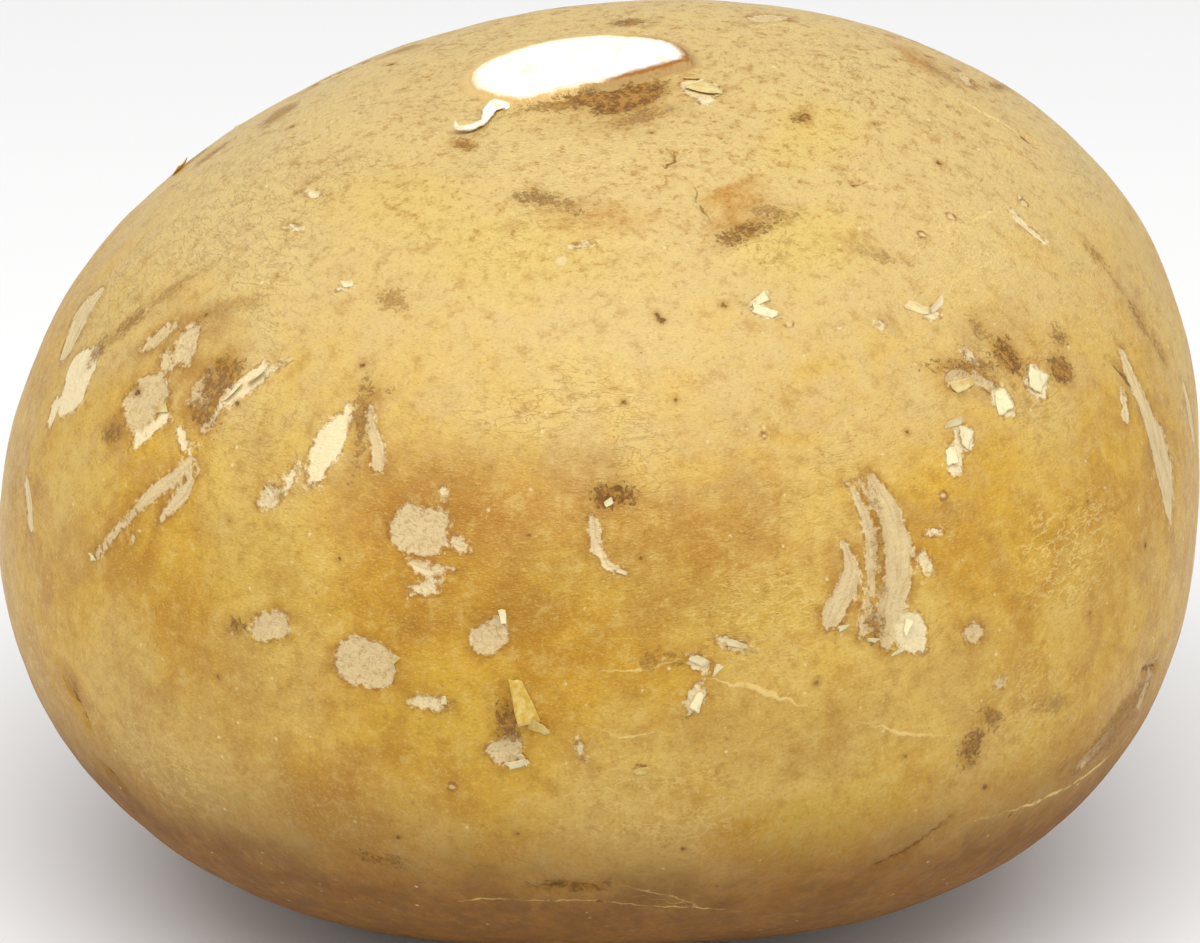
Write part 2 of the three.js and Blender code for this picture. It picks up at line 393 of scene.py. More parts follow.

# Rough brown soil and bruises, and one painted shadow: name, around, up, length, width, turn, strength.
SOIL = [
    ("under_crown", 36, 79.0, 9.0, 5.2, 8, 1.0),
    ("under_crown_mid", 10, 80.6, 7.5, 3.0, 5, 0.95),
    ("under_crown_low", 28, 73.5, 5.0, 1.6, 5, 0.55),
    ("under_crown_left", -10, 79.0, 5.5, 1.6, 20, 0.7),
    ("rough_field", -45, 25.5, 5.5, 3.8, -98, 0.8),
    ("rough_field_low", -45, 22, 3.5, 1.4, -30, 0.8),
    ("grey_field_low", -56.5, 16.5, 2.5, 1.8, 0, 0.7),
    ("left_slope", -62.5, 31, 4.5, 1.0, -115, 0.45),
    ("left_slope_low", -65.5, 25.5, 4.0, 1.3, -115, 0.6),
    ("left_slope_foot", -67.5, 22, 2.2, 1.0, -100, 0.7),
    ("upper_slope", -50, 33, 5.0, 1.4, 35, 0.3),
    ("centre_pit", 3.3, 19.8, 2.6, 1.7, 0, 1.0),
    ("right_soil", 52.6, 25.4, 3.2, 2.6, -100, 1.0),
    ("right_soil_top", 51.5, 29.3, 1.6, 1.2, -100, 0.55),
    ("right_soil_side", 58.5, 21.8, 3.0, 2.6, -12, 1.0),
    ("right_speck", 61.5, 24.5, 1.6, 1.4, 0, 0.7),
    ("right_slope_a", 78, 27, 2.6, 0.9, -92, 0.6),
    ("right_slope_mid", 77.5, 24, 2.0, 1.1, -92, 0.45),
    ("right_slope_b", 77.5, 20, 4.0, 1.1, -92, 0.6),
    ("right_slope_foot", 78.5, 16, 2.6, 1.0, -92, 0.5),
    ("bow_shade", 45.6, 26.4, 3.0, 0.8, -20, 0.8),
    ("amber_lower_edge", 29.5, 48, 5.5, 1.3, 10, 0.9),
    ("amber_far_edge", 35.5, 49.6, 2.0, 0.8, -30, 0.6),
    ("brown_mark", -8, 55.6, 4.6, 1.8, -20, 0.7),
    ("slope_mark", 47, 39.5, 2.2, 0.9, -45, 0.45),
    ("slope_mark_low", 44, 41.5, 1.8, 0.8, -45, 0.3),
    ("back_of_crown", 158, 73, 3.2, 1.6, 0, 0.8),
    # painted shadow under the torn strip's lifted tip, drawn like soil
    ("strip_shade", -37.6, 65.4, 1.9, 1.0, -20, 0.7),
    ("low_right_spot", 38.3, -8.7, 3.4, 2.0, -90, 0.9),
    ("low_right_spot_b", 40, -6, 1.8, 1.0, -60, 0.7),
    ("low_right_spot_c", 47.5, -7, 4.0, 1.0, -20, 0.4),
    ("low_left_soil", -21, -19.8, 3.0, 1.3, 0, 0.8),
    ("rough_low_right_shade", 60, -13.5, 12.0, 5.0, 25, 0.5),
    ("rough_low_right_foot", 53, -15.5, 5.0, 3.0, 10, 0.35),
    ("peel_shade", -6.8, -2.0, 2.6, 1.3, -80, 0.9),
    ("chip_row_shade", 8, 4.4, 2.4, 1.0, 0, 0.6),
    ("left_dot", -34.4, 3.3, 1.3, 1.3, 0, 1.0),
    ("claw_gap", 29.7, 14.0, 3.4, 0.5, -94, 0.5),
    ("claw_foot", 28.3, 5.0, 2.0, 1.0, -94, 0.7),
    ("scar_top", -24.6, 28.5, 1.8, 0.9, 0, 0.7),
    ("scar_side", -25, 25.5, 4.0, 0.7, -82, 0.6),
    ("bottom_slit", -2, -21.6, 5.0, 1.0, 5, 0.7),
    ("low_left_patch", -57.5, -10, 2.4, 1.6, -60, 0.5),
    ("crown_side", 66, 60, 1.2, 0.8, 0, 0.9),
    ("grey_dot", -27, 39, 1.8, 1.2, -15, 0.5),
    ("right_upper_line", 102, 48, 4.5, 1.0, -140, 0.5),
    ("top_back_a", 150, 80, 3.0, 1.2, 10, 0.5),
]

# Soft stains under the surface, and one painted shadow, by kind: around, up, radius sideways, radius upwards,
# strength.
STAINS = {
    "amber": [
        (31, 54, 4.6, 4.2, 1.0), (28, 50.5, 4.0, 3.0, 0.8), (4.5, 52.8, 6.5, 2.8, 0.6),
        # the first of these, at (-38, 65.5), is painted shadow under the torn strip's lifted tip
        (-38, 65.5, 1.8, 1.6, 1.0), (66, 60, 1.6, 1.2, 0.8), (39, -9, 3.4, 4.0, 0.5),
        (-57, -10, 3.4, 3.4, 0.5), (-5, -1, 3.2, 4.2, 0.55), (55, 24, 7.0, 4.0, 0.35),
        (-46, 24, 6.0, 6.0, 0.4), (29, 12, 5.6, 10.0, 0.3), (-2, 18, 7.0, 4.0, 0.35),
        (14, 15, 9.0, 4.5, 0.4), (-15, 12, 7.0, 6.0, 0.45), (-24, -10, 9.0, 5.0, 0.3),
        (-6, 18, 20.0, 5.0, 0.55), (17, 14, 8.0, 4.0, 0.35),
    ],
    "yellow": [
        (-37, 52, 13.0, 7.0, 0.5), (-12, 47, 14.0, 7.0, 0.5), (36, 45, 9.0, 6.0, 0.6),
        (62, 58, 10.0, 5.0, 0.5), (-32, 10, 9.0, 10.0, 0.45), (3, 14, 9.0, 5.0, 0.6),
        (15, 9.5, 8.0, 5.0, 0.6), (24, -14, 10.0, 7.0, 0.5), (-12, -2, 9.0, 5.0, 0.4),
    ],
    "brown": [
        (2, 12, 26.0, 9.0, 0.75), (-11, 18, 13.0, 6.5, 1.0), (12, 19, 14.0, 4.0, 0.45),
        (-52, 29, 9.0, 6.0, 0.55), (-14, 8.0, 7.0, 4.0, 0.75), (-4, 21, 11.0, 4.5, 0.5),
        (15, 14, 10.0, 5.0, 0.55), (-26, -14, 13.0, 7.0, 0.8), (-34, -1, 10.0, 8.0, 0.5),
        (-45, -8, 10.0, 8.0, 0.35), (6, 0, 9.0, 3.5, 0.35), (52, 28, 8.0, 5.0, 0.4),
        (22, 76, 9.0, 6.0, 0.5), (-35, 20, 6.0, 4.0, 0.3), (-30, 9, 10.0, 8.0, 0.4),
        (19, -5, 14.0, 7.0, 0.4), (62, -13, 10.0, 6.0, 0.5), (35, -19, 9.0, 4.0, 0.45),
    ],
    "pink": [
        (-54, 52, 12.0, 6.0, 0.8), (60, 44, 13.0, 8.0, 0.7), (22, 66, 12.0, 6.0, 0.5),
        (-12, 62, 12.0, 6.0, 0.5), (-60, 40, 8.0, 7.0, 0.5), (90, 35, 12.0, 10.0, 0.6),
        (33, 23, 8.0, 5.0, 0.6),
    ],
    "veined": [
        (52, 7, 10.5, 8.0, 1.0), (58, 36, 12.0, 8.0, 0.7), (70, 28, 8.0, 12.0, 0.5),
        (10, 66, 16.0, 7.0, 0.8), (18, 8, 9.0, 6.0, 0.6), (45, -6, 10.0, 8.0, 0.6), (2, 33, 16.0, 7.0, 0.5),
        (-44, -14, 12.0, 8.0, 0.5), (8, -10, 14.0, 8.0, 0.5),
    ],
}

# Thin pale lines where the skin has split and healed: points of (around, up), and the half width.
PALE_LINES = [
    ((11.5, 2.5), (16.5, 1), (21.5, -1.5), 0.4),
    ((25.5, -3), (30.5, -5.5), (36.5, -7), 0.32),
    ((2, 3.5), (5.5, 3.5), (9.5, 4.5), 0.2),
    ((-29, -30), (-10.5, -24.5), (1, -23.8), (13, -26), (26, -30), 0.14),
    ((4, -21), (9, -23), (13, -25.5), 0.1),
    ((93, 46.5), (91.5, 42.5), (90.5, 39.5), (90.5, 35.5), 0.3),
    ((40, -17.5), (49, -18.5), (57.5, -18), (66, -17), 0.3),
    ((60, 39), (67, 38), (72, 37), 0.2),
    ((0.5, -1.5), (4, -3), (7, -2.4), 0.18),
]

# Thin dark splits, in the same way.
DARK_LINES = [
    ((30.5, -22), (34, -20.6), (38, -16.5), 0.38),
    ((-5.5, -22.5), (-2, -21.5), (1.5, -21.5), 0.3),
    ((28, 64), (24.5, 62), (21.5, 61), 0.26),
    ((63.5, -9.5), (67, -10.5), 0.3),
    ((-59, -10.5), (-57.5, -12), (-56.5, -14), 0.25),
    ((-57, -19), (-54, -20.5), 0.3),
    ((91, 38.5), (90, 37), 0.35),
    ((54.5, 49.2), (57, 48.8), 0.16),
    ((67.8, 19.5), (68.6, 17.5), (69, 15.5), 0.4),
    ((26, 57.5), (24.2, 54), (24.2, 50), 0.14),
]

# Small dark pits: around, up, radius.
PITS = [
    (11, 38, 0.41), (10.5, 38.8, 0.22), (5, 29, 0.24), (11, 29, 0.18), (-18, -16, 0.24), (-36, -2, 0.22),
    (2, -24, 0.38), (10, -16, 0.26), (22, 1, 0.26), (72, 45, 0.30), (63, 3, 0.30), (-41, 24, 0.30),
    (-47, 38, 0.15), (6, 14, 0.19), (-5, 16, 0.15), (-53, 31, 0.19), (41, -14, 0.38), (46, -19, 0.26),
    (-56, 21, 0.38), (-3, 78, 0.30), (19, 77, 0.34), (26, 69, 0.30), (74, 53, 0.26), (-60, 48, 0.19),
    (-30, -21, 0.19), (19, -11, 0.19), (-6, -14, 0.19), (53, 0, 0.19), (-24, 12, 0.17), (20, 39, 0.30),
    (-37, 13, 0.15), (31, -8, 0.17), (-27, 31, 0.30), (14, -22, 0.22), (55, 10, 0.19), (36, 22, 0.19),
]

# Round scars where side roots were: around, up, radius.
RINGS = [
    (-3, 46, 0.8), (75, 36, 0.6), (62, 40, 0.6), (27.5, 35.5, 0.45), (5.5, -6.3, 0.6), (37.5, 15.5, 0.45),
    (55, 40, 0.5), (-12, -9, 0.5), (20, 24.5, 0.35),
]

# Loose flakes of skin that stand off the root: name, around, up, length, width, turn, lift, curl, tone.
FLAKES = [
    ("crown_flag", 66, 72.4, 3.8, 2.4, 75, 0.25, 0.2, 0.5),
    ("crown_side", 74, 75, 2.0, 0.7, 100, 0.25, 0.3, 0.5),
    ("arrow_upper", 24.9, 38.7, 2.4, 0.9, 25, 0.35, 0.5, 1.0),
    ("arrow_lower", 25.0, 37.3, 2.8, 1.0, -35, 0.3, 0.4, 1.0),
    ("torn_left", 45.2, 33, 2.6, 0.9, -40, 0.5, 0.5, 0.6),
    ("torn_right", 47.8, 32.6, 2.8, 0.8, 15, 0.6, 0.6, 0.7),
    ("bow", 44.8, 24.6, 3.0, 1.2, 0, 0.4, 0.3, 0.5),
    ("block_low", 48.6, 21.8, 2.5, 2.0, -95, 0.25, 0.2, 1.0),
    ("block_high", 54.4, 22.2, 2.7, 2.6, 40, 0.25, 0.2, 1.0),
    ("shell", 42, 20, 2.2, 1.9, 60, 0.45, 0.5, 1.0),
    ("shell_lip", 41.4, 21.6, 2.2, 0.8, 0, 0.6, 0.7, 0.7),
    ("shell_low", 39.8, 18.8, 1.8, 1.3, -100, 0.3, 0.3, 1.0),
    ("flag_curl", -39.8, 27, 2.4, 0.8, -125, 0.6, 0.8, 0.9),
    ("flag_edge", -42, 25, 2.6, 0.7, -110, 0.3, 0.3, 0.9),
    ("field_curl", -50.6, 20.8, 1.8, 0.9, 30, 0.6, 0.9, 0.5),
    ("peel_left", -5.2, 0.4, 5.4, 2.0, 107, 0.8, 0.5, 0.3),
    ("peel_right", -3.6, -2.0, 2.2, 1.4, -30, 0.5, 0.4, 0.4),
    ("peel_foot", -5.8, -5.8, 2.4, 1.2, 20, 0.5, 0.5, 0.85),
    ("peel_foot_side", -5.2, -5.4, 1.4, 0.9, -70, 0.5, 0.6, 1.0),
    ("row_a", 11, 4.3, 1.8, 1.0, -28, 0.4, 0.5, 0.8),
    ("row_b", 10.8, 0.4, 2.0, 1.0, -112, 0.4, 0.4, 0.9),
    ("row_c", 14.6, 5.5, 2.4, 0.8, -19, 0.4, 0.5, 0.7),
    ("row_d", 12.6, 3.2, 1.4, 0.8, 60, 0.4, 0.5, 0.7),
    ("low_fold", 5.7, -6.4, 1.7, 1.1, 13, 0.3, 0.4, 0.4),
    ("oval_lip", -7.2, 8.4, 1.6, 0.7, 100, 0.4, 0.5, 0.8),
    ("claw_lip", 31.2, 4.6, 1.6, 0.6, -120, 0.4, 0.6, 0.9),
    ("claw_lip_low", 30, 2.6, 1.6, 0.7, 20, 0.5, 0.6, 0.8),
    ("claw_crumb", 27.6, 4.2, 1.2, 0.6, -20, 0.5, 0.6, 0.8),
    ("claw_left_crumb", 24.8, 5.8, 1.2, 0.8, 10, 0.5, 0.6, 0.8),
    ("pit_chip", 2.9, 19.2, 1.0, 0.7, 30, 0.3, 0.4, 0.8),
    ("pale_chip_lip", -34.6, 39.4, 1.3, 0.6, 20, 0.4, 0.5, 0.8),
    ("streak_crumb", -54, 4.6, 1.0, 0.8, 0, 0.4, 0.4, 1.0),
    ("streak_foot", 4, 12.8, 1.2, 0.5, -20, 0.3, 0.4, 1.0),
    ("fold_small", -33.2, 16.8, 1.8, 0.5, -30, 0.3, 0.3, 0.8),
    ("flat_chip_lip", -12.6, 0.1, 0.9, 0.5, 90, 0.3, 0.4, 0.6),
    ("square_lip", -17.4, 3.4, 1.0, 0.6, 60, 0.4, 0.5, 0.5),
    ("ring_lip", 75, 36.6, 1.2, 0.5, 10, 0.4, 0.7, 0.8),
]

# Marks of the hidden sides, strewn at random.
HIDDEN_SEED = 11
HIDDEN_PATCHES = 30
HIDDEN_STROKES = 14
HIDDEN_SOIL = 26
HIDDEN_PITS = 34
HIDDEN_STAINS = 34
HIDDEN_FLAKES = 18


def strew_hidden_marks():
    """Adds marks like those of the front to the back, the far sides and the underside."""
    random = np.random.default_rng(HIDDEN_SEED)

    def spot():
        return random.uniform(98, 272), random.uniform(-48, 62)

    def oval(shortest, longest, narrowest, widest):
        around, up = spot()
        length = random.uniform(shortest, longest)
        width = length * random.uniform(narrowest, widest)
        return around, up, length, width, random.uniform(-120, 60)

    for i in range(HIDDEN_PATCHES):
        PATCHES.append((f"hidden_{i}", *oval(1.5, 7.0, 0.35, 0.8), random.uniform(0.05, 1)))
    for i in range(HIDDEN_STROKES):
        around, up = spot()
        lean, reach, half = random.uniform(-0.8, 0.8), random.uniform(2.5, 8), random.uniform(0.3, 1.0)
        shares = (0, 0.3, 0.7, 1)
        stops = [(around + lean * t * reach, up - t * reach, half * (1 - abs(t - 0.5))) for t in shares]
        STROKES.append((f"hidden_{i}", random.uniform(0.1, 0.7), *stops))
    for i in range(HIDDEN_SOIL):
        SOIL.append((f"hidden_{i}", *oval(1.5, 6.5, 0.25, 0.8), random.uniform(0.3, 0.9)))
    for _ in range(HIDDEN_PITS):
        PITS.append((*spot(), random.uniform(0.2, 0.5)))
    for _ in range(HIDDEN_STAINS):
        kind = list(STAINS)[random.integers(len(STAINS))]
        STAINS[kind].append((*spot(), random.uniform(4, 13), random.uniform(3, 8), random.uniform(0.3, 0.8)))
    for i in range(HIDDEN_FLAKES):
        shape = oval(1.2, 3.6, 0.35, 0.7)
        lift, curl = random.uniform(0.25, 0.6), random.uniform(0.2, 0.7)
        FLAKES.append((f"hidden_{i}", *shape, lift, curl, random.uniform(0.3, 1)))


strew_hidden_marks()


class Nearest:
    """For every point, its distance to the edge of the nearest mark of one kind, negative inside it, and that
    mark's own numbers."""

    def __init__(self, points, extras, empty=0.0):
        self.points = points
        self.distance = np.full(len(points), FAR)
        self.extras = np.full((len(points), extras), float(empty))

    def offer(self, where, distance, *extras):
        closer = distance < self.distance[where]
        taken = where[closer]
        self.distance[taken] = distance[closer]
        for column, value in enumerate(extras):
            self.extras[taken, column] = (np.zeros(len(distance)) + value)[closer]

    def around(self, middle, reach):
        return np.nonzero(np.linalg.norm(self.points - middle, axis=1) < reach)[0]

    def oval(self, around, up, length, width, turn, *extras, power=2.6):
        """Offers an oval mark. The along and across places in it follow the given extras."""
        middle, along, across, _ = form.place(around, up, turn)
        where = self.around(middle, length / 2 + FAR)
        offset = self.points[where] - middle
        u, v = offset @ along, offset @ across
        size = ((abs(u) / (length / 2)) ** power + (abs(v) / (width / 2)) ** power) ** (1 / power)
        self.offer(where, (size - 1) * min(length, width) / 2, *extras, u, v)

    def line(self, stops, halves, *extras):
        """Offers a mark along a line of (around, up) stops. Its along and across places follow the extras."""
        corners = form.point(towards(*np.array(stops, float).T))
        travelled = 0.0
        for i, (start, end) in enumerate(zip(corners[:-1], corners[1:])):
            length = np.linalg.norm(end - start)
            ahead = (end - start) / length
            out = (start + end) / 2 - form.core
            side = np.cross(out / np.linalg.norm(out), ahead)
            where = self.around((start + end) / 2, length / 2 + FAR)
            offset = self.points[where] - start
            u = np.clip(offset @ ahead, 0, length)
            gap = np.linalg.norm(offset - u[:, None] * ahead, axis=1)
            half = halves[i] + (halves[i + 1] - halves[i]) * u / length
            self.offer(where, gap - half, *extras, travelled + offset @ ahead, offset @ side)
            travelled += length


def scuff_fields(points):
    """Distance to the edge of the nearest scuff. The extras are its tone, 1 if it is long, its width, and the
    place along and across it."""
    found = Nearest(points, extras=5)
    for _, around, up, length, width, turn, tone in PATCHES:
        squareness = 4 if tone > 0.8 else 2.6
        found.oval(around, up, length, width, turn, tone, 0, min(length, width), power=squareness)
    for _, tone, *stops in STROKES:
        found.line([s[:2] for s in stops], [s[2] for s in stops], tone, 1, 1.2)
    return found


def soil_fields(points):
    found = Nearest(points, extras=3)
    for _, around, up, length, width, turn, strength in SOIL:
        found.oval(around, up, length, width, turn, strength, power=2.0)
    return found


def triple(*columns):
    """Two or three columns of numbers side by side, with zeros for a third that is left out."""
    return np.stack([*columns, 0 * columns[0]][:3], axis=1)


def line_fields(points, lines):
    """The signed place across the nearest thin line and its half width, negative away from any line, and the
    distance to the line's edge."""
    found = Nearest(points, extras=3, empty=-FAR)
    for *stops, half in lines:
        tapered = [0.0] + [half] * (len(stops) - 2) + [0.0] if len(stops) > 2 else [half, half * 0.4]
        found.line(stops, tapered, half)
    near = found.distance < 1.6
    width = np.where(near, found.extras[:, 0], -FAR)
    across = np.where(near, found.extras[:, 2], FAR)
    # past the line's ends the distance outgrows the across place, and the line thins away to nothing
    past_end = np.maximum(found.distance + found.extras[:, 0] - abs(across), 0)
    return triple(across, np.where(near, width - past_end, -FAR)), found.distance


def dot_fields(points, dots):
    """The place sideways and upwards from the middle of the nearest dot, and its radius, which is negative
    away from any dot."""
    result = np.tile([FAR, FAR, -10.0], (len(points), 1))
    closest = np.full(len(points), np.inf)
    for around, up, radius in dots:
        middle, sideways, upwards, _ = form.place(around, up)
        offset = points - middle
        gap = np.linalg.norm(offset, axis=1)
        where = np.nonzero((gap < radius + 1.6) & (gap < closest))[0]
        closest[where] = gap[where]
        result[where, 0] = offset[where] @ sideways
        result[where, 1] = offset[where] @ upwards
        result[where, 2] = radius
    return result


def stain_fields(points):
    """One strength per kind of stain, with a ragged soft edge."""
    wobble = 0.35 * noise(points, 7, seed=31, octaves=2)
    found = {kind: np.zeros(len(points)) for kind in STAINS}
    for kind, stains in STAINS.items():
        for around, up, wide, high, strength in stains:
            middle, sideways, upwards, _ = form.place(around, up)
            offset = points - middle
            size = np.hypot(offset @ sideways / wide, offset @ upwards / high)
            size = np.where(offset @ (middle - form.core) < -wide * wide, np.inf, size)
            found[kind] = np.maximum(found[kind], strength * step(1.35, 0.25, size + wobble))
    return found


# ----------------------------------------------------------------------------
# The root's surface in relief
# ----------------------------------------------------------------------------

EDGE_ROLL = 0.9  # how far the cut rolls down at its right end
RIGHT_END = math.radians(75)  # where that end is, from the front towards +X
# The knife slipped off the front right of the stub, beyond a straight edge.
SLIP_TOWARDS = (0.421, -0.907)
SLIP_FROM_MIDDLE = 5.4
SCAR_RADIUS = 6.0
SCAR_DEPTH = 1.5
SPOT_FADE = 1.5  # the dirt of the resting spot fades out this far above the floor


def beyond_slip(points):
    """How far the points lie beyond the straight front edge of the white flesh."""
    return (points[..., :2] - form.core[:2]) @ np.array(SLIP_TOWARDS) - SLIP_FROM_MIDDLE


def raise_stub(points, reach):
    """The grid with the stub standing on the crown: a sloping cut, a steep wall and a fillet."""
    angles = np.tile(column_angles(), (len(points), 1))
    flat = points.reshape(-1, 3)
    height = np.maximum(form.cut_height(flat).reshape(reach.shape), 0.12)
    reach = np.maximum(reach, 1 + 0.055 * beyond_slip(points))
    wall = step(1.035, 0.995, reach) * 0.6 + step(1.3, 1.0, reach) * 0.4
    # the right end of the cut rolls over, and the edge is a little ragged all round
    towards_right = np.clip(np.cos(angles - RIGHT_END), 0, 1) ** 2
    roll = EDGE_ROLL * towards_right * step(0.72, 1.05, reach) * np.clip(height / 2.5, 0, 1)
    bumps = noise(flat, 2.6, seed=3, octaves=2).reshape(reach.shape)
    on_cut = step(1.02, 0.96, reach)
    lift = height * wall - roll * step(1.3, 1.0, reach) + on_cut * (0.12 * bumps - 0.05)
    raised = points.copy()
    raised[..., 2] += lift * step(1.32, 1.28, reach)
    return raised


def growth(points):
    """The soft unevenness that the root grew with."""
    return 0.3 * noise(points, 24, seed=1) + 0.16 * noise(points, 8, seed=2)


def creases(points):
    """Faint creases that run round the crown."""
    up = (points[:, 2] - form.core[2]) / (TOP_MM / 2)
    stretched = points * [0.35, 0.35, 1.0]
    from_axis = np.hypot(*(points[:, :2] - form.core[:2]).T)
    stretched[:, 2] += from_axis
    near_crown = step(0.45, 0.9, up) * step(46, 18, from_axis)
    return 0.07 * noise(stretched, 2.2, seed=5, octaves=2) * (0.35 + 1.6 * near_crown)


def scuff_relief(scuffs):
    """Scuffs lie a little below the skin, fibrous, with a raised lip round them."""
    inside = step(0.4, -0.5, scuffs.distance)
    lip = np.exp(-(((scuffs.distance - 0.35) / 0.55) ** 2))
    tone, along, across = scuffs.extras[:, 0], scuffs.extras[:, 3], scuffs.extras[:, 4]
    fibre = noise(triple(along * 0.15, across), 0.9, seed=6)
    return inside * (-0.12 + 0.06 * tone + 0.06 * fibre) + 0.07 * lip


def dot_relief(pits, rings):
    """Pits are dents, and rings are raised rims round a small dent."""
    pit_gap = np.hypot(pits[:, 0], pits[:, 1]) / np.maximum(pits[:, 2], 0.1)
    ring_gap = np.hypot(rings[:, 0], rings[:, 1]) / np.maximum(rings[:, 2], 0.1)
    pitted = -0.25 * np.exp(-(pit_gap**2))
    ringed = 0.16 * (np.exp(-(((ring_gap - 1) / 0.4) ** 2)) - np.exp(-((ring_gap / 0.5) ** 2)))
    return np.where(pits[:, 2] > 0, pitted, 0) + np.where(rings[:, 2] > 0, ringed, 0)


def relief(points, reach, marks):
    """How far every point of the skin stands out, in millimetres."""
    grown = growth(points) + 0.06 * noise(points, 3, seed=4)
    dirt = step(0.3, -0.6, marks.soil.distance) * marks.soil.extras[:, 0]
    caked = dirt * (0.14 * noise(points, 1.1, seed=7, octaves=2) - 0.05)
    healed = 0.1 * np.exp(-((np.maximum(marks.pale[1], 0) / 0.5) ** 2))
    split = -0.5 * np.exp(-((np.maximum(marks.dark[1], 0) / 0.45) ** 2))
    standing = grown + creases(points) + scuff_relief(marks.scuffs) + dot_relief(marks.pits, marks.rings)
    return step(1.0, 1.25, reach) * (standing + caked + healed + split)


def scar_relief(points):
    """The scar of the main root on the underside, a dent with a torn rim, and the distance to its middle."""
    middle = form.point(form.scar)[0]
    gap = np.linalg.norm(points - middle, axis=1)
    gap = np.maximum(gap + 1.3 * noise(points, 4, seed=9, octaves=2) * step(0, 3, gap), 0)
    dent = -SCAR_DEPTH * np.exp(-((gap / SCAR_RADIUS) ** 2))
    stump = 1.3 * step(2.6, 1.2, gap) + 0.35 * np.exp(-(((gap - 3.6) / 0.8) ** 2))
    torn = 0.35 * noise(points, 1.2, seed=8, octaves=2) * step(5.5, 2, gap)
    return dent + stump + torn, gap


# ----------------------------------------------------------------------------
# Pieces
# ----------------------------------------------------------------------------


def make_mesh(name, points, faces):
    mesh = bpy.data.meshes.new(name)
    mesh.from_pydata((np.asarray(points) * MM).tolist(), [], faces)
    mesh.update()
    mesh.shade_smooth()
    piece = bpy.data.objects.new(name, mesh)
    bpy.context.scene.collection.objects.link(piece)
    return piece


def store(piece, name, values):
    """Keeps one number or three numbers per vertex for the material to read."""
    values = np.asarray(values, np.float32)
    if values.ndim == 1:
        piece.data.attributes.new(name, "FLOAT", "POINT").data.foreach_set("value", values)
    else:
        piece.data.attributes.new(name, "FLOAT_VECTOR", "POINT").data.foreach_set("vector", values.ravel())


def with_poles(grid_values):
    """A grid's values in one list, with the means of its first and last row for the two poles."""
    values = grid_values.reshape(grid_values.shape[0] * grid_values.shape[1], *grid_values.shape[2:])
    return np.concatenate([values, grid_values[:1].mean(axis=1), grid_values[-1:].mean(axis=1)])


def find_marks(bare):
    """Where the marks of every kind lie, for the points of the bare skin."""
    scuffs, soil = scuff_fields(bare), soil_fields(bare)
    ragged = np.minimum(0.24 * scuffs.extras[:, 2], 0.9) * noise(bare, 2.8, seed=20, octaves=2)
    scuffs.distance += ragged * step(0.3, 2.0, FAR - scuffs.distance)
    soil.distance += 0.7 * noise(bare, 1.5, seed=21, octaves=2)
    return SimpleNamespace(
        scuffs=scuffs,
        soil=soil,
        pale=line_fields(bare, PALE_LINES),
        dark=line_fields(bare, DARK_LINES),
        pits=dot_fields(bare, PITS),
        rings=dot_fields(bare, RINGS),
    )


def store_marks(piece, bare, marks):
    scuffs, soil = marks.scuffs, marks.soil
    store(piece, "scuff", triple(scuffs.distance, scuffs.extras[:, 0], scuffs.extras[:, 1]))
    store(piece, "grain", triple(scuffs.extras[:, 3], scuffs.extras[:, 4]))
    store(piece, "soil", triple(soil.distance, soil.extras[:, 0]))
    store(piece, "pale_line", marks.pale[0])
    store(piece, "dark_line", marks.dark[0])
    store(piece, "pit", marks.pits)
    store(piece, "ring", marks.rings)
    stains = stain_fields(bare)
    store(piece, "stain", triple(stains["amber"], stains["yellow"], stains["brown"]))
    store(piece, "pink", stains["pink"])
    store(piece, "veined", stains["veined"])


def store_places(piece, bare, reach):
    """Where each point lies on the root as a whole, and round the stub."""
    angles = np.arctan2(bare[:, 0] - form.core[0], form.core[1] - bare[:, 1])
    flesh_reach = np.maximum(reach, 1 + 0.08 * beyond_slip(bare))
    from_axis = np.hypot(*(bare[:, :2] - form.core[:2]).T)
    store(piece, "crown", triple(flesh_reach, np.cos(angles - RIGHT_END)))
    store(piece, "round_crown", triple(bare[:, 0] * 0.7, bare[:, 1] * 0.7, bare[:, 2] - from_axis))
    store(piece, "level", (bare[:, 2] - form.core[2]) / (TOP_MM / 2))


def build_root():
    grid, reach_grid = bare_grid()
    rows, columns = reach_grid.shape
    points = with_poles(raise_stub(grid, reach_grid))
    bare = with_poles(grid)
    reach = with_poles(reach_grid)
    reach[-2] = 0
    normals = with_poles(grid_normals(grid))
    normals /= np.linalg.norm(normals, axis=1, keepdims=True)
    normals *= np.sign(np.einsum("ij,ij->i", normals, bare - form.core))[:, None]

    marks = find_marks(bare)
    scar_rise, scar_gap = scar_relief(bare)
    rise = relief(bare, reach, marks) + scar_rise
    points = points + normals * rise[:, None]
    near_spot = step(SPOT_FADE, -0.5, points[:, 2])
    points[:, 2] = np.maximum(points[:, 2], 0)

    piece = make_mesh("jicama_root", points, grid_faces(rows, columns))
    store_marks(piece, bare, marks)
    store_places(piece, bare, reach)
    store(piece, "scar_gap", scar_gap)
    store(piece, "spot", near_spot)
    return piece


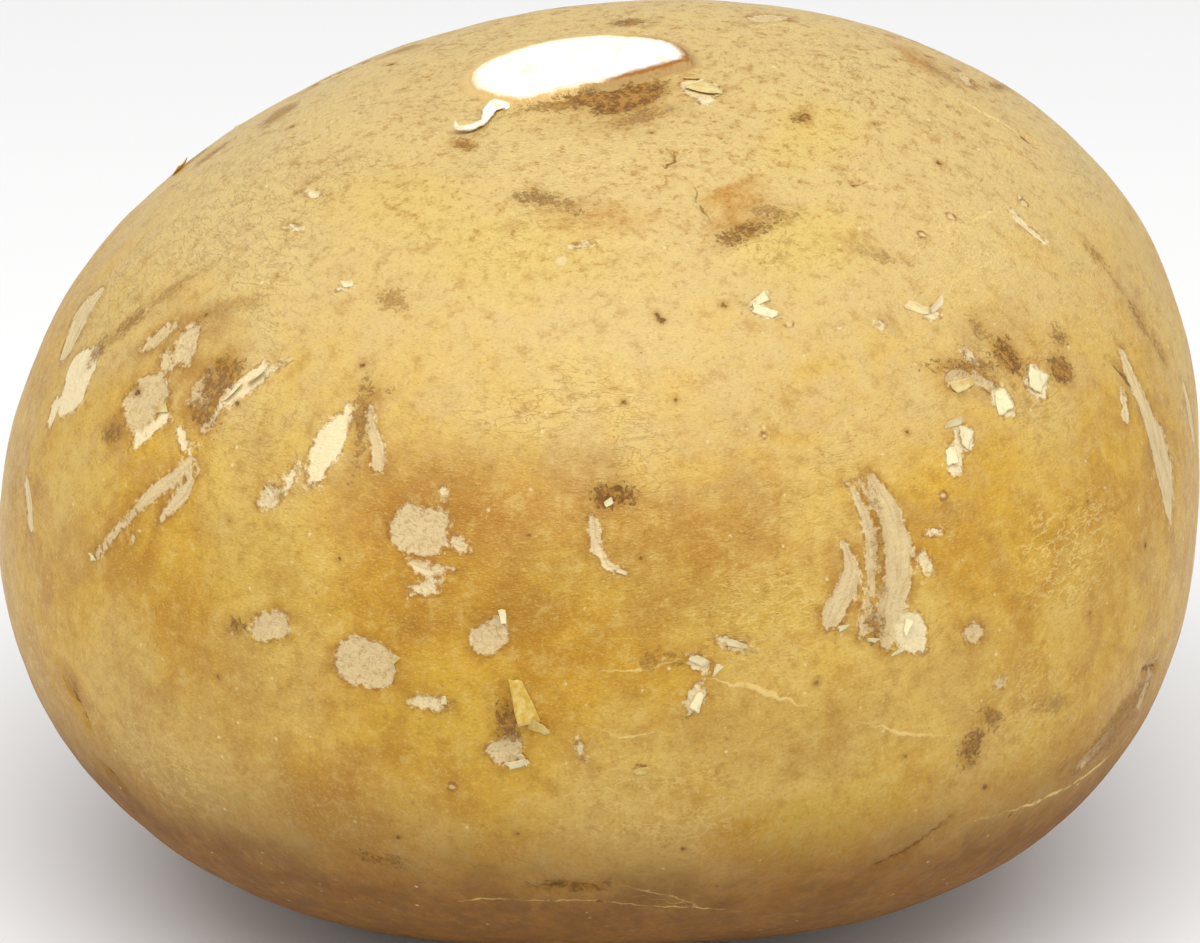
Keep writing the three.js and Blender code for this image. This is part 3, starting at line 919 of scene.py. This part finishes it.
def flake_sheet(around, up, length, width, turn, lift, curl, seed):
    """A thin curled chip of skin, held down along one long edge: its points and faces, closed all round."""
    middle, along, across, out = form.place(around, up, turn)
    random = np.random.default_rng(seed)
    count_u, count_v = 12, 8
    u, v = np.meshgrid(np.linspace(-1, 1, count_u), np.linspace(-1, 1, count_v), indexing="ij")
    # a square of points drawn in to a ragged oval
    squeeze = np.sqrt(1 - 0.1 * np.maximum(abs(u), abs(v)) ** 2 * np.minimum(abs(u), abs(v)) ** 2)
    spin = np.arctan2(v, u)
    waves = [(k, random.uniform(-0.16, 0.16) / math.sqrt(k), random.uniform(0, 6.3)) for k in (1, 2, 3, 5, 8)]
    ragged = 1 + sum(height * np.cos(k * spin + shift) for k, height, shift in waves)
    skew, taper = random.uniform(-0.4, 0.4), random.uniform(-0.5, 0.5)
    x = (u + skew * v * 0.5) * squeeze * ragged * length / 2
    y = v * (1 - taper * u) * squeeze * ragged * width / 2
    free = (v + 1) / 2
    ripple = 0.12 * np.sin(2.5 * u + random.uniform(0, 6.3)) * free
    height = 0.1 + lift * free**1.6 + curl * 0.35 * u**2 * free + ripple * lift
    pull = 1 - 0.35 * curl * free**2
    flat = middle + x[..., None] * along + (y * pull)[..., None] * across
    rays = flat - form.core
    rays /= np.linalg.norm(rays, axis=-1, keepdims=True)
    skin = form.point(rays.reshape(-1, 3)).reshape(*rays.shape)
    grown = growth(skin.reshape(-1, 3))
    edge = np.maximum(abs(u), abs(v))
    thickness = 0.12 * (1 - 0.6 * edge**4)
    upper = skin + (height + grown.reshape(u.shape))[..., None] * out
    lower = upper - thickness[..., None] * out
    points = np.vstack([upper.reshape(-1, 3), lower.reshape(-1, 3)])
    total = count_u * count_v
    faces = []
    for i, j in itertools.product(range(count_u - 1), range(count_v - 1)):
        a = i * count_v + j
        b = a + count_v
        faces += [(a, b, b + 1, a + 1), (total + a + 1, total + b + 1, total + b, total + a)]
    # the rim joins the two layers, all round the four sides of the sheet
    order = np.arange(total).reshape(count_u, count_v)
    rim = np.concatenate([order[:, 0], order[-1, 1:], order[-2::-1, -1], order[0, -2:0:-1]]).tolist()
    for a, b in zip(rim, rim[1:] + rim[:1]):
        faces.append((a, total + a, total + b, b))
    return points, faces, np.concatenate([edge.ravel(), edge.ravel()])


# The torn strip from the stub down to its free, lifted tip: around, up, half width, height over the skin.
STRIP = [
    (-36, 80.5, 2.6, 0.1), (-46, 77.5, 2.4, 0.3), (-50, 75.2, 1.5, 0.35), (-46.5, 73.2, 0.8, 0.35),
    (-41.5, 71, 0.5, 0.3), (-41, 68.6, 0.7, 0.5), (-44, 67, 0.45, 0.7), (-46, 67.6, 0.2, 1.1),
]


def torn_strip():
    """The shred of flesh that the knife pulled off the stub's front left edge: its points and faces, and the
    share of the way along it."""
    at = np.arange(len(STRIP))
    fine = np.linspace(0, len(STRIP) - 1, 26)
    around, up, half, height = (np.interp(fine, at, column) for column in zip(*STRIP))
    spine = form.point(towards(around, up))
    ahead = np.gradient(spine, axis=0)
    ahead /= np.linalg.norm(ahead, axis=1, keepdims=True)
    out = spine - form.core
    out /= np.linalg.norm(out, axis=1, keepdims=True)
    side = np.cross(out, ahead)
    sides = 8
    points, faces = [], []
    for i, turn in itertools.product(range(len(fine)), range(sides)):
        angle = 2 * math.pi * turn / sides
        wide = half[i] * math.cos(angle) * (1 + 0.15 * math.sin(1.7 * i + turn))
        thick = 0.2 * math.sin(angle)
        sag = 0.25 * (wide / max(half[i], 0.1)) ** 2
        points.append(spine[i] + side[i] * wide + out[i] * (height[i] + thick - sag * 0.4))
    for i in range(len(fine) - 1):
        for turn in range(sides):
            a, b = i * sides + turn, i * sides + (turn + 1) % sides
            faces.append((a, b, b + sides, a + sides))
    faces.append(tuple(range(sides))[::-1])
    faces.append(tuple((len(fine) - 1) * sides + turn for turn in range(sides)))
    return np.array(points), faces, np.repeat(fine / fine[-1], sides)


def build_strip():
    points, faces, along = torn_strip()
    piece = make_mesh("torn_strip", points, faces)
    store(piece, "along", along)
    return piece


def build_flakes():
    """All the loose chips of skin as one piece."""
    points, faces, tones, edges = [], [], [], []
    for seed, (_, around, up, length, width, turn, lift, curl, tone) in enumerate(FLAKES):
        sheet, sides, edge = flake_sheet(around, up, length, width, turn, lift, curl, seed)
        start = sum(len(p) for p in points)
        points.append(sheet)
        faces += [tuple(i + start for i in side) for side in sides]
        tones.append(np.full(len(sheet), tone))
        edges.append(edge)
    piece = make_mesh("loose_flakes", np.vstack(points), faces)
    store(piece, "tone", np.concatenate(tones))
    store(piece, "edge", np.concatenate(edges))
    return piece


root = build_root()
flakes = build_flakes()
strip = build_strip()


# ----------------------------------------------------------------------------
# Materials
# ----------------------------------------------------------------------------


def colour(red, green, blue):
    """An sRGB colour from 0 to 255 as Blender's linear one."""
    shares = (c / 255 for c in (red, green, blue))
    return (*(s / 12.92 if s <= 0.04045 else ((s + 0.055) / 1.055) ** 2.4 for s in shares), 1.0)


# Where a Mix node takes in its two colours, and gives out the mixed one.
MIX_FIRST, MIX_SECOND, MIX_RESULT = 6, 7, 2


class Nodes:
    """Short ways to add shader nodes. Every method returns the socket that holds its result."""

    def __init__(self, name):
        self.material = bpy.data.materials.new(name)
        self.material.use_nodes = True
        self.tree = self.material.node_tree
        self.tree.nodes.clear()
        self.shader = self.tree.nodes.new("ShaderNodeBsdfPrincipled")
        self.node("OutputMaterial", {0: self.shader.outputs[0]})
        self.here = self.scale(self.node("TexCoord", {})["Object"], 1 / MM)

    def put(self, node, socket, value):
        target = node.inputs[socket]
        if isinstance(value, bpy.types.NodeSocket):
            self.tree.links.new(value, target)
        else:
            target.default_value = value

    def node(self, kind, inputs, **settings):
        """Adds a node with a value or a link for each socket in `inputs`, and returns its outputs."""
        node = self.tree.nodes.new("ShaderNode" + kind)
        for name, value in settings.items():
            setattr(node, name, value)
        for socket, value in inputs.items():
            self.put(node, socket, value)
        return node.outputs

    def scale(self, vector, factor):
        return self.node("VectorMath", {0: vector, "Scale": factor}, operation="SCALE")[0]

    def stretch(self, vector, factors):
        return self.node("VectorMath", {0: vector, 1: factors}, operation="MULTIPLY")[0]

    def join(self, x, y, z=0.0):
        return self.node("CombineXYZ", {0: x, 1: y, 2: z})[0]

    def math(self, operation, a, b=0.0):
        return self.node("Math", {0: a, 1: b}, operation=operation)[0]

    def add(self, a, b):
        return self.math("ADD", a, b)

    def less(self, a, b):
        return self.math("SUBTRACT", a, b)

    def times(self, a, b):
        return self.math("MULTIPLY", a, b)

    def most(self, a, b):
        return self.math("MAXIMUM", a, b)

    def sway(self, cloudy, width):
        """A noise from 0 to 1, turned to swing about 0 and `width` wide."""
        return self.times(self.less(cloudy, 0.5), width)

    def thread(self, cloudy, outer, inner):
        """Thin winding lines, where a noise crosses its middle."""
        return self.rise(self.math("ABSOLUTE", self.less(cloudy, 0.5)), outer, inner)

    def rise(self, value, low, high, bottom=0.0, top=1.0):
        """bottom where value is low and top where it is high, clamped, with a smooth change between."""
        inputs = dict(enumerate((value, low, high, bottom, top)))
        return self.node("MapRange", inputs, interpolation_type="SMOOTHSTEP")[0]

    def noise(self, vector, size, detail=2.0, roughness=0.5, twist=0.0):
        """Cloudy noise from 0 to 1 with lumps `size` millimetres wide."""
        inputs = {"Vector": vector, "Scale": 1 / size, "Detail": detail, "Roughness": roughness}
        return self.node("TexNoise", {**inputs, "Distortion": twist})["Fac"]

    def dots(self, size, radius, share, shift):
        """Small round dots: about `share` of the cells hold one."""
        moved = self.node("VectorMath", {0: self.here, 1: (shift, -shift, 2 * shift)})[0]
        cells = self.node("TexVoronoi", {"Vector": moved, "Scale": 1 / size})
        is_dot = self.math("LESS_THAN", self.split(cells["Color"])[0], share)
        return self.times(is_dot, self.rise(cells["Distance"], radius / size, 0.4 * radius / size))

    def split(self, vector):
        return self.node("SeparateXYZ", {0: vector})

    def stored(self, name):
        return self.node("Attribute", {}, attribute_name=name)

    def number(self, name):
        return self.stored(name)["Fac"]

    def numbers(self, name):
        return self.split(self.stored(name)["Vector"])

    def mix(self, share, first, second):
        """One colour where share is 0 and another where it is 1."""
        inputs = {0: share, MIX_FIRST: first, MIX_SECOND: second}
        return self.node("Mix", inputs, data_type="RGBA")[MIX_RESULT]

    def bump(self, height):
        """A normal from a height in millimetres."""
        return self.node("Bump", {"Height": height, "Distance": MM})[0]

    def finish(self, tint, roughness, normal, **fixed):
        self.put(self.shader, "Base Color", tint)
        self.put(self.shader, "Roughness", roughness)
        self.put(self.shader, "Normal", normal)
        for name, value in fixed.items():
            self.shader.inputs[name.replace("_", " ")].default_value = value
        return self.material


GOLDEN = colour(191, 148, 38)
DEEP_GOLD = colour(172, 124, 18)
PALE_GOLD = colour(205, 178, 104)
# dust and painted sheen, paling the upper part of the root
DUST_AND_SHEEN = colour(200, 176, 119)
YELLOW = colour(200, 172, 64)
AMBER = colour(168, 112, 20)
BROWN_SHADE = colour(149, 102, 16)
PINKISH = colour(197, 168, 112)
# painted shade: the browns that darken the lower part of the root
LOW_SHADE_BROWN = colour(105, 61, 6)
LOW_SHADE_TAN = colour(128, 81, 14)
SOIL_BROWN = colour(108, 66, 20)
SOIL_LIGHT = colour(168, 122, 52)
PORE_BROWN = colour(134, 88, 34)
PIT_BROWN = colour(108, 68, 26)
FIBRE_GREY = colour(207, 187, 143)
FIBRE_DARK = colour(175, 149, 101)
CREAM = colour(223, 206, 162)
VEIN = colour(226, 198, 124)
FLESH = colour(238, 234, 224)
FLESH_SHADE = colour(226, 206, 164)
RIM_TAN = colour(206, 172, 106)
WALL_GREY = colour(156, 122, 68)
BURNT = colour(150, 94, 16)


class Skin(Nodes):
    """The skin's material. Layers are painted over one another and lifted on one another."""

    def __init__(self):
        super().__init__("jicama_skin")
        self.crown_reach, self.to_right, _ = self.numbers("crown")
        self.level = self.number("level")
        self.round_crown = self.stored("round_crown")["Vector"]
        self.clouds = self.noise(self.here, 24, detail=2)
        self.patches = self.noise(self.here, 6.5, detail=4, roughness=0.6, twist=0.5)
        self.mottle = self.noise(self.here, 2.1, detail=4, roughness=0.65)
        self.streaks = self.noise(self.round_crown, 1.1, detail=4, roughness=0.65)
        self.freckles = self.noise(self.here, 0.8, detail=3, roughness=0.7)
        self.crumbs = self.noise(self.here, 0.6, detail=4, roughness=0.7)
        self.grit = self.noise(self.round_crown, 0.26, detail=2, roughness=0.7)
        flattened = self.stretch(self.round_crown, (1.3, 1.3, 1.0))
        self.height = self.times(self.noise(flattened, 0.75, detail=4, roughness=0.65), 0.23)
        self.tint = self.mix(self.rise(self.patches, 0.36, 0.66), GOLDEN, DEEP_GOLD)

    def paint(self, share, over):
        """Lays a colour over the tint so far, as strongly as `share`."""
        self.tint = self.mix(share, self.tint, over)

    def lift(self, height):
        """Adds a height in millimetres to the relief so far."""
        self.height = self.add(self.height, height)

    def dot_gap(self, name):
        """The distance to the edge of the nearest dot, negative inside it, and the dot's radius."""
        x, y, radius = self.numbers(name)
        from_middle = self.math("SQRT", self.add(self.times(x, x), self.times(y, y)))
        return self.less(from_middle, radius), radius

    def crack(self, name, shake, outer, inner):
        """The broken-up line of a crack, shaken to and fro."""
        across, half, _ = self.numbers(name)
        gap = self.less(self.math("ABSOLUTE", self.add(across, shake)), half)
        return self.times(self.rise(gap, outer, inner), self.rise(self.mottle, 0.34, 0.5))


def paint_growth(n):
    """The colours that the skin grew with, from broad clouds down to a fine speckle, with dust and a painted
    sheen paling the upper part, and a painted shadow among the amber stains.
    """
    amber, yellow, brown = n.numbers("stain")
    n.paint(n.times(n.rise(n.clouds, 0.42, 0.62), 0.45), PALE_GOLD)
    # the upper part paler: dust, and a painted sheen
    n.paint(n.times(n.rise(n.add(n.level, n.sway(n.patches, 0.6)), 0.25, 0.8), 0.8), DUST_AND_SHEEN)
    n.paint(n.times(n.number("pink"), 0.6), PINKISH)
    n.paint(n.times(yellow, 0.65), YELLOW)
    n.paint(n.times(brown, n.rise(n.patches, 0.3, 0.7, 0.4, 0.9)), BROWN_SHADE)
    n.paint(n.times(amber, n.rise(n.mottle, 0.3, 0.7, 0.5, 0.95)), AMBER)
    n.paint(n.rise(n.mottle, 0.5, 0.72, 0.0, 0.45), BROWN_SHADE)
    n.paint(n.rise(n.mottle, 0.5, 0.3, 0.0, 0.35), PALE_GOLD)
    n.paint(n.rise(n.streaks, 0.52, 0.75, 0.0, 0.14), BROWN_SHADE)
    n.paint(n.rise(n.streaks, 0.48, 0.3, 0.0, 0.14), PALE_GOLD)
    n.paint(n.rise(n.freckles, 0.54, 0.72, 0.0, 0.35), BROWN_SHADE)
    n.paint(n.rise(n.grit, 0.52, 0.72, 0.0, 0.4), PALE_GOLD)
    n.paint(n.rise(n.grit, 0.46, 0.28, 0.0, 0.35), BROWN_SHADE)
    speckle = n.times(n.rise(n.freckles, 0.5, 0.62), n.rise(n.level, 0.65, 0.95, 0.0, 0.55))
    n.paint(n.times(speckle, n.rise(n.mottle, 0.4, 0.6, 0.2, 1.0)), BROWN_SHADE)
    n.lift(n.times(n.grit, 0.08))


def paint_underside_shade(n):
    """Painted shade: a darker, mottled brown low on the root, standing in for the shadow near the floor.
    Returns how strong it is.
    """
    low = n.rise(n.add(n.level, n.sway(n.patches, 0.2)), -0.2, -0.6, 0.0, 0.92)
    brown = n.mix(n.rise(n.add(n.mottle, n.less(n.patches, 0.5)), 0.32, 0.68), LOW_SHADE_BROWN, LOW_SHADE_TAN)
    brown = n.mix(n.rise(n.freckles, 0.5, 0.64, 0.0, 0.6), brown, LOW_SHADE_BROWN)
    brown = n.mix(n.rise(n.streaks, 0.46, 0.3, 0.0, 0.12), brown, SOIL_LIGHT)
    n.paint(low, brown)
    return low


def paint_wrinkles(n):
    """Thin brown wrinkles, and pale veins where the skin has stretched."""
    crease = n.noise(n.round_crown, 1.9, detail=3, roughness=0.6, twist=0.6)
    where = n.times(n.rise(n.clouds, 0.48, 0.6), n.rise(n.level, 0.2, 0.6, 0.25, 1.0))
    wrinkle = n.times(n.thread(crease, 0.022, 0.006), where)
    n.paint(n.times(wrinkle, 0.25), BROWN_SHADE)
    vein = n.noise(n.stretch(n.round_crown, (1.0, 1.0, 1.3)), 1.7, detail=3, roughness=0.6, twist=0.3)
    vein = n.times(n.thread(vein, 0.05, 0.008), n.rise(n.mottle, 0.36, 0.48))
    veined = n.times(vein, n.number("veined"))
    n.paint(n.times(veined, 0.5), VEIN)
    n.lift(n.times(n.less(veined, wrinkle), 0.05))


def paint_pores(n):
    """Pores and pale flecks."""
    pores = n.times(n.dots(3.4, 0.3, 0.4, 4.0), n.rise(n.crumbs, 0.35, 0.6))
    small_pores = n.dots(1.7, 0.15, 0.3, 9.0)
    flecks = n.times(n.dots(2.1, 0.3, 0.4, 15.0), n.rise(n.crumbs, 0.4, 0.6))
    n.paint(n.times(n.most(pores, small_pores), 0.65), PORE_BROWN)
    n.paint(n.times(flecks, 0.7), CREAM)


def paint_scuffs(n):
    """Scuffs, and the painted highlight on the left rim drawn like them: a torn edge, then grey-tan fibre or
    a clean cream layer. Returns where they are.
    """
    gap, tone, is_long = n.numbers("scuff")
    along, across, _ = n.numbers("grain")
    tears = n.noise(n.here, 0.9, detail=4, roughness=0.65)
    torn_gap = n.add(gap, n.sway(tears, n.rise(is_long, 0, 1, 1.3, 0.8)))
    is_scuff = n.rise(torn_gap, 0.12, -0.1)
    halo = n.times(n.rise(gap, 1.8, 0.1), n.rise(tone, 0.9, 0.3))
    stripes = n.noise(n.join(n.times(along, 0.12), across), 0.55, detail=3, roughness=0.6)
    web = n.noise(n.here, 0.5, detail=3, roughness=0.6, twist=0.8)
    fibres = n.add(n.times(stripes, is_long), n.times(web, n.less(1.0, is_long)))
    worn = n.mix(n.rise(fibres, 0.3, 0.54), FIBRE_DARK, FIBRE_GREY)
    worn = n.mix(n.rise(n.freckles, 0.5, 0.68, 0.0, 0.35), worn, CREAM)
    bare = n.mix(n.rise(n.add(tone, n.sway(fibres, 0.9)), 0.3, 0.95), worn, CREAM)
    bare = n.mix(n.rise(stripes, 0.5, 0.34, 0.0, 0.35), bare, FIBRE_GREY)
    n.paint(n.times(halo, n.rise(n.mottle, 0.35, 0.6, 0.1, 0.55)), BROWN_SHADE)
    n.paint(n.times(is_scuff, n.rise(tone, 0.1, 0.9, 0.7, 0.93)), bare)
    edge_line = n.times(n.rise(torn_gap, 0.42, 0.12), n.rise(torn_gap, -0.14, 0.04))
    n.paint(n.times(edge_line, n.rise(n.freckles, 0.44, 0.6, 0.0, 0.55)), PORE_BROWN)
    n.paint(n.times(edge_line, n.rise(n.freckles, 0.48, 0.36, 0.0, 0.6)), CREAM)
    n.lift(n.times(n.less(edge_line, is_scuff), 0.06))
    n.lift(n.times(n.times(is_scuff, fibres), n.rise(is_long, 0, 1, 0.08, 0.22)))
    return is_scuff


def paint_soil(n):
    """Soil caked in the surface, and the painted shadow under the torn strip's tip. Returns where it is."""
    gap, strength, _ = n.numbers("soil")
    broken = n.less(n.add(n.crumbs, n.times(n.mottle, 0.6)), 0.8)
    is_soil = n.times(n.rise(n.add(gap, n.times(broken, 6.0)), 0.3, -0.4), strength)
    is_soil = n.times(is_soil, n.rise(n.crown_reach, 1.0, 1.04))
    earth = n.mix(n.rise(n.freckles, 0.42, 0.6), SOIL_BROWN, SOIL_LIGHT)
    n.paint(n.times(n.rise(gap, 1.6, -0.7), n.times(strength, 0.75)), BROWN_SHADE)
    n.paint(n.times(is_soil, 0.85), earth)
    n.lift(n.times(n.times(is_soil, n.crumbs), 0.35))
    return is_soil


def paint_cracks(n):
    """Pale healed cracks and dark splits."""
    shake = n.sway(n.noise(n.here, 1.4, detail=3), 1.3)
    pale = n.crack("pale_line", shake, 0.14, -0.16)
    dark = n.crack("dark_line", shake, 0.1, -0.2)
    n.paint(n.times(pale, 0.6), VEIN)
    n.paint(n.times(dark, 0.8), SOIL_BROWN)
    n.lift(n.less(n.times(pale, 0.05), n.times(dark, 0.2)))


def paint_dots(n):
    """Pits, and rings with a broken rim."""
    gap, _ = n.dot_gap("pit")
    pit = n.rise(n.add(gap, n.sway(n.crumbs, 1.3)), 0.06, -0.3)
    n.paint(n.times(n.rise(gap, 0.8, -0.1), 0.5), BROWN_SHADE)
    n.paint(n.times(pit, 0.9), PIT_BROWN)
    n.lift(n.times(pit, -0.16))
    gap, radius = n.dot_gap("ring")
    gap = n.add(gap, n.sway(n.crumbs, 0.7))
    rim = n.times(n.rise(n.math("ABSOLUTE", gap), 0.3, 0.06), n.rise(radius, 0.0, 0.2))
    n.paint(n.times(n.rise(gap, -0.05, -0.35), 0.6), FIBRE_GREY)
    n.paint(n.times(rim, n.rise(n.mottle, 0.44, 0.56, 0.1, 0.8)), PORE_BROWN)


def paint_stub(n, is_soil):
    """The stub: white flesh, a tan rim, and a wall that is burnt at its edge and grey below. Returns where
    the flesh is."""
    reach = n.add(n.crown_reach, n.sway(n.noise(n.here, 1.4, detail=4, roughness=0.6), 0.09))
    shades = n.noise(n.here, 2.6, detail=4, twist=0.8)
    flesh = n.mix(n.rise(shades, 0.54, 0.7, 0.0, 0.6), FLESH, FLESH_SHADE)
    flesh = n.mix(n.rise(reach, 0.9, 1.0, 0.0, 0.8), flesh, FLESH_SHADE)
    dried = n.rise(n.add(reach, n.times(n.to_right, 0.3)), 1.16, 1.26)
    flesh = n.mix(n.times(dried, n.rise(n.to_right, 0.3, 0.85)), flesh, BURNT)
    clean = n.less(1.0, is_soil)
    n.paint(n.times(clean, n.rise(reach, 1.14, 1.02)), RIM_TAN)
    wall = n.times(n.rise(reach, 1.14, 1.03), n.rise(n.to_right, 0.0, 0.6))
    n.paint(n.times(clean, n.times(wall, 0.85)), WALL_GREY)
    is_flesh = n.rise(reach, 1.015, 0.985)
    n.paint(is_flesh, flesh)
    return is_flesh


def paint_scar_and_spot(n):
    """The scar of the main root, and dirt picked up by the resting spot."""
    gap = n.add(n.number("scar_gap"), n.add(n.sway(n.crumbs, 3.5), n.sway(n.mottle, 4.0)))
    n.paint(n.times(n.rise(gap, 6.5, 3.5), 0.8), SOIL_LIGHT)
    n.paint(n.times(n.rise(gap, 3.6, 2.2), 0.85), SOIL_BROWN)
    n.paint(n.times(n.rise(gap, 2.0, 0.6), 0.6), FIBRE_GREY)
    dirt = n.rise(n.add(n.patches, n.less(n.crumbs, 0.5)), 0.35, 0.65, 0.1, 0.6)
    n.paint(n.times(n.number("spot"), dirt), SOIL_LIGHT)


def skin_material():
    n = Skin()
    paint_growth(n)
    # painted shade over the lower part of the root; its mask also roughens the skin there
    low = paint_underside_shade(n)
    paint_wrinkles(n)
    paint_pores(n)
    is_scuff = paint_scuffs(n)
    is_soil = paint_soil(n)
    paint_cracks(n)
    paint_dots(n)
    is_flesh = paint_stub(n, is_soil)
    paint_scar_and_spot(n)

    roughness = n.rise(n.streaks, 0.3, 0.7, 0.34, 0.46)
    roughness = n.add(roughness, n.times(n.most(is_scuff, is_soil), 0.25))
    roughness = n.most(roughness, n.times(is_flesh, 0.5))
    roughness = n.add(roughness, n.times(low, 0.3))
    return n.finish(n.tint, roughness, n.bump(n.height), Subsurface_Weight=0.08, Subsurface_Scale=0.003,
                    Subsurface_Radius=(1.0, 0.5, 0.2), Specular_IOR_Level=0.3)


def flake_material():
    n = Nodes("loose_skin")
    tone = n.number("tone")
    fibres = n.noise(n.here, 0.9, detail=3, roughness=0.6)
    tint = n.mix(n.rise(fibres, 0.3, 0.5), FIBRE_GREY, CREAM)
    darker = n.mix(n.rise(fibres, 0.35, 0.65), GOLDEN, PALE_GOLD)
    tint = n.mix(n.rise(tone, 0.3, 0.8), darker, tint)
    rim = n.times(n.rise(n.number("edge"), 0.8, 1.0), n.rise(fibres, 0.4, 0.6, 0.1, 0.6))
    tint = n.mix(rim, tint, RIM_TAN)
    normal = n.bump(n.times(fibres, 0.04))
    return n.finish(tint, 0.6, normal, Subsurface_Weight=0.15, Subsurface_Scale=0.002)


def flesh_material():
    n = Nodes("torn_flesh")
    fibres = n.noise(n.stretch(n.here, (0.6, 1.0, 2.0)), 0.6, detail=3, roughness=0.6)
    tint = n.mix(n.rise(fibres, 0.45, 0.7), FLESH, FLESH_SHADE)
    tint = n.mix(n.rise(n.number("along"), 0.3, 1.0, 0.0, 0.55), tint, RIM_TAN)
    normal = n.bump(n.times(fibres, 0.12))
    return n.finish(tint, 0.5, normal, Subsurface_Weight=0.15, Subsurface_Scale=0.002)


root.data.materials.append(skin_material())
flakes.data.materials.append(flake_material())
strip.data.materials.append(flesh_material())

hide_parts(NODE)
for piece in (root, flakes, strip):
    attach(piece, "root")


# ----------------------------------------------------------------------------
# Floor, light and camera
# ----------------------------------------------------------------------------

CAMERA_ELEVATION = 23
CAMERA_DISTANCE = 0.695
CAMERA_LENS = 180
AIM_ABOVE_MIDDLE = -0.0012  # metres
VIEW_DEPTH = 20  # metres
FLOOR_HALF = 6.0  # metres
FLOOR_GREY = 0.78
ROOM_BRIGHTNESS = 0.68

# Softboxes: name, place from the root's middle and size in metres, power in watts.
SOFTBOXES = [
    ("overhead", (0.0, -0.34, 0.73), (1.2, 0.5), 7.8),
    ("left_fill", (-0.9, -0.25, 0.25), (0.7, 0.7), 0.7),
    ("right_fill", (0.9, -0.25, 0.25), (0.7, 0.7), 0.7),
]

low, high = (np.array(corner) for corner in cad_box)
middle = (low + high) / 2


def add_floor():
    mesh = bpy.data.meshes.new("floor")
    corners = [(x * FLOOR_HALF, y * FLOOR_HALF, 0) for x, y in ((-1, -1), (1, -1), (1, 1), (-1, 1))]
    mesh.from_pydata(corners, [], [(0, 1, 2, 3)])
    floor = bpy.data.objects.new("floor", mesh)
    bpy.context.scene.collection.objects.link(floor)
    material = bpy.data.materials.new("pale_floor")
    material.use_nodes = True
    shader = material.node_tree.nodes["Principled BSDF"]
    shader.inputs["Base Color"].default_value = (FLOOR_GREY, FLOOR_GREY, FLOOR_GREY, 1)
    shader.inputs["Roughness"].default_value = 0.9
    mesh.materials.append(material)


def add_softbox(name, place, size, power):
    """A rectangular light at `place` from the root's middle, facing it."""
    lamp = bpy.data.lights.new(name, "AREA")
    lamp.shape = "RECTANGLE"
    lamp.size, lamp.size_y = size
    lamp.energy = power
    piece = bpy.data.objects.new(name, lamp)
    piece.location = Vector(middle) + Vector(place)
    piece.rotation_euler = (-Vector(place)).to_track_quat("-Z", "Y").to_euler()
    bpy.context.scene.collection.objects.link(piece)


def add_world():
    world = bpy.data.worlds.new("white_room")
    world.use_nodes = True
    background = world.node_tree.nodes["Background"]
    background.inputs["Color"].default_value = (1, 1, 1, 1)
    background.inputs["Strength"].default_value = ROOM_BRIGHTNESS
    bpy.context.scene.world = world


def add_camera():
    camera = bpy.data.cameras.new("camera")
    camera.lens = CAMERA_LENS
    camera.clip_end = VIEW_DEPTH
    piece = bpy.data.objects.new("camera", camera)
    tilt = math.radians(CAMERA_ELEVATION)
    back = Vector((0, -math.cos(tilt), math.sin(tilt)))
    piece.location = Vector(middle) + Vector((0, 0, AIM_ABOVE_MIDDLE)) + back * CAMERA_DISTANCE
    piece.rotation_euler = (-back).to_track_quat("-Z", "Y").to_euler()
    bpy.context.scene.collection.objects.link(piece)
    bpy.context.scene.camera = piece


add_floor()
for softbox in SOFTBOXES:
    add_softbox(*softbox)
add_world()
add_camera()
bpy.context.scene.view_settings.view_transform = "Standard"
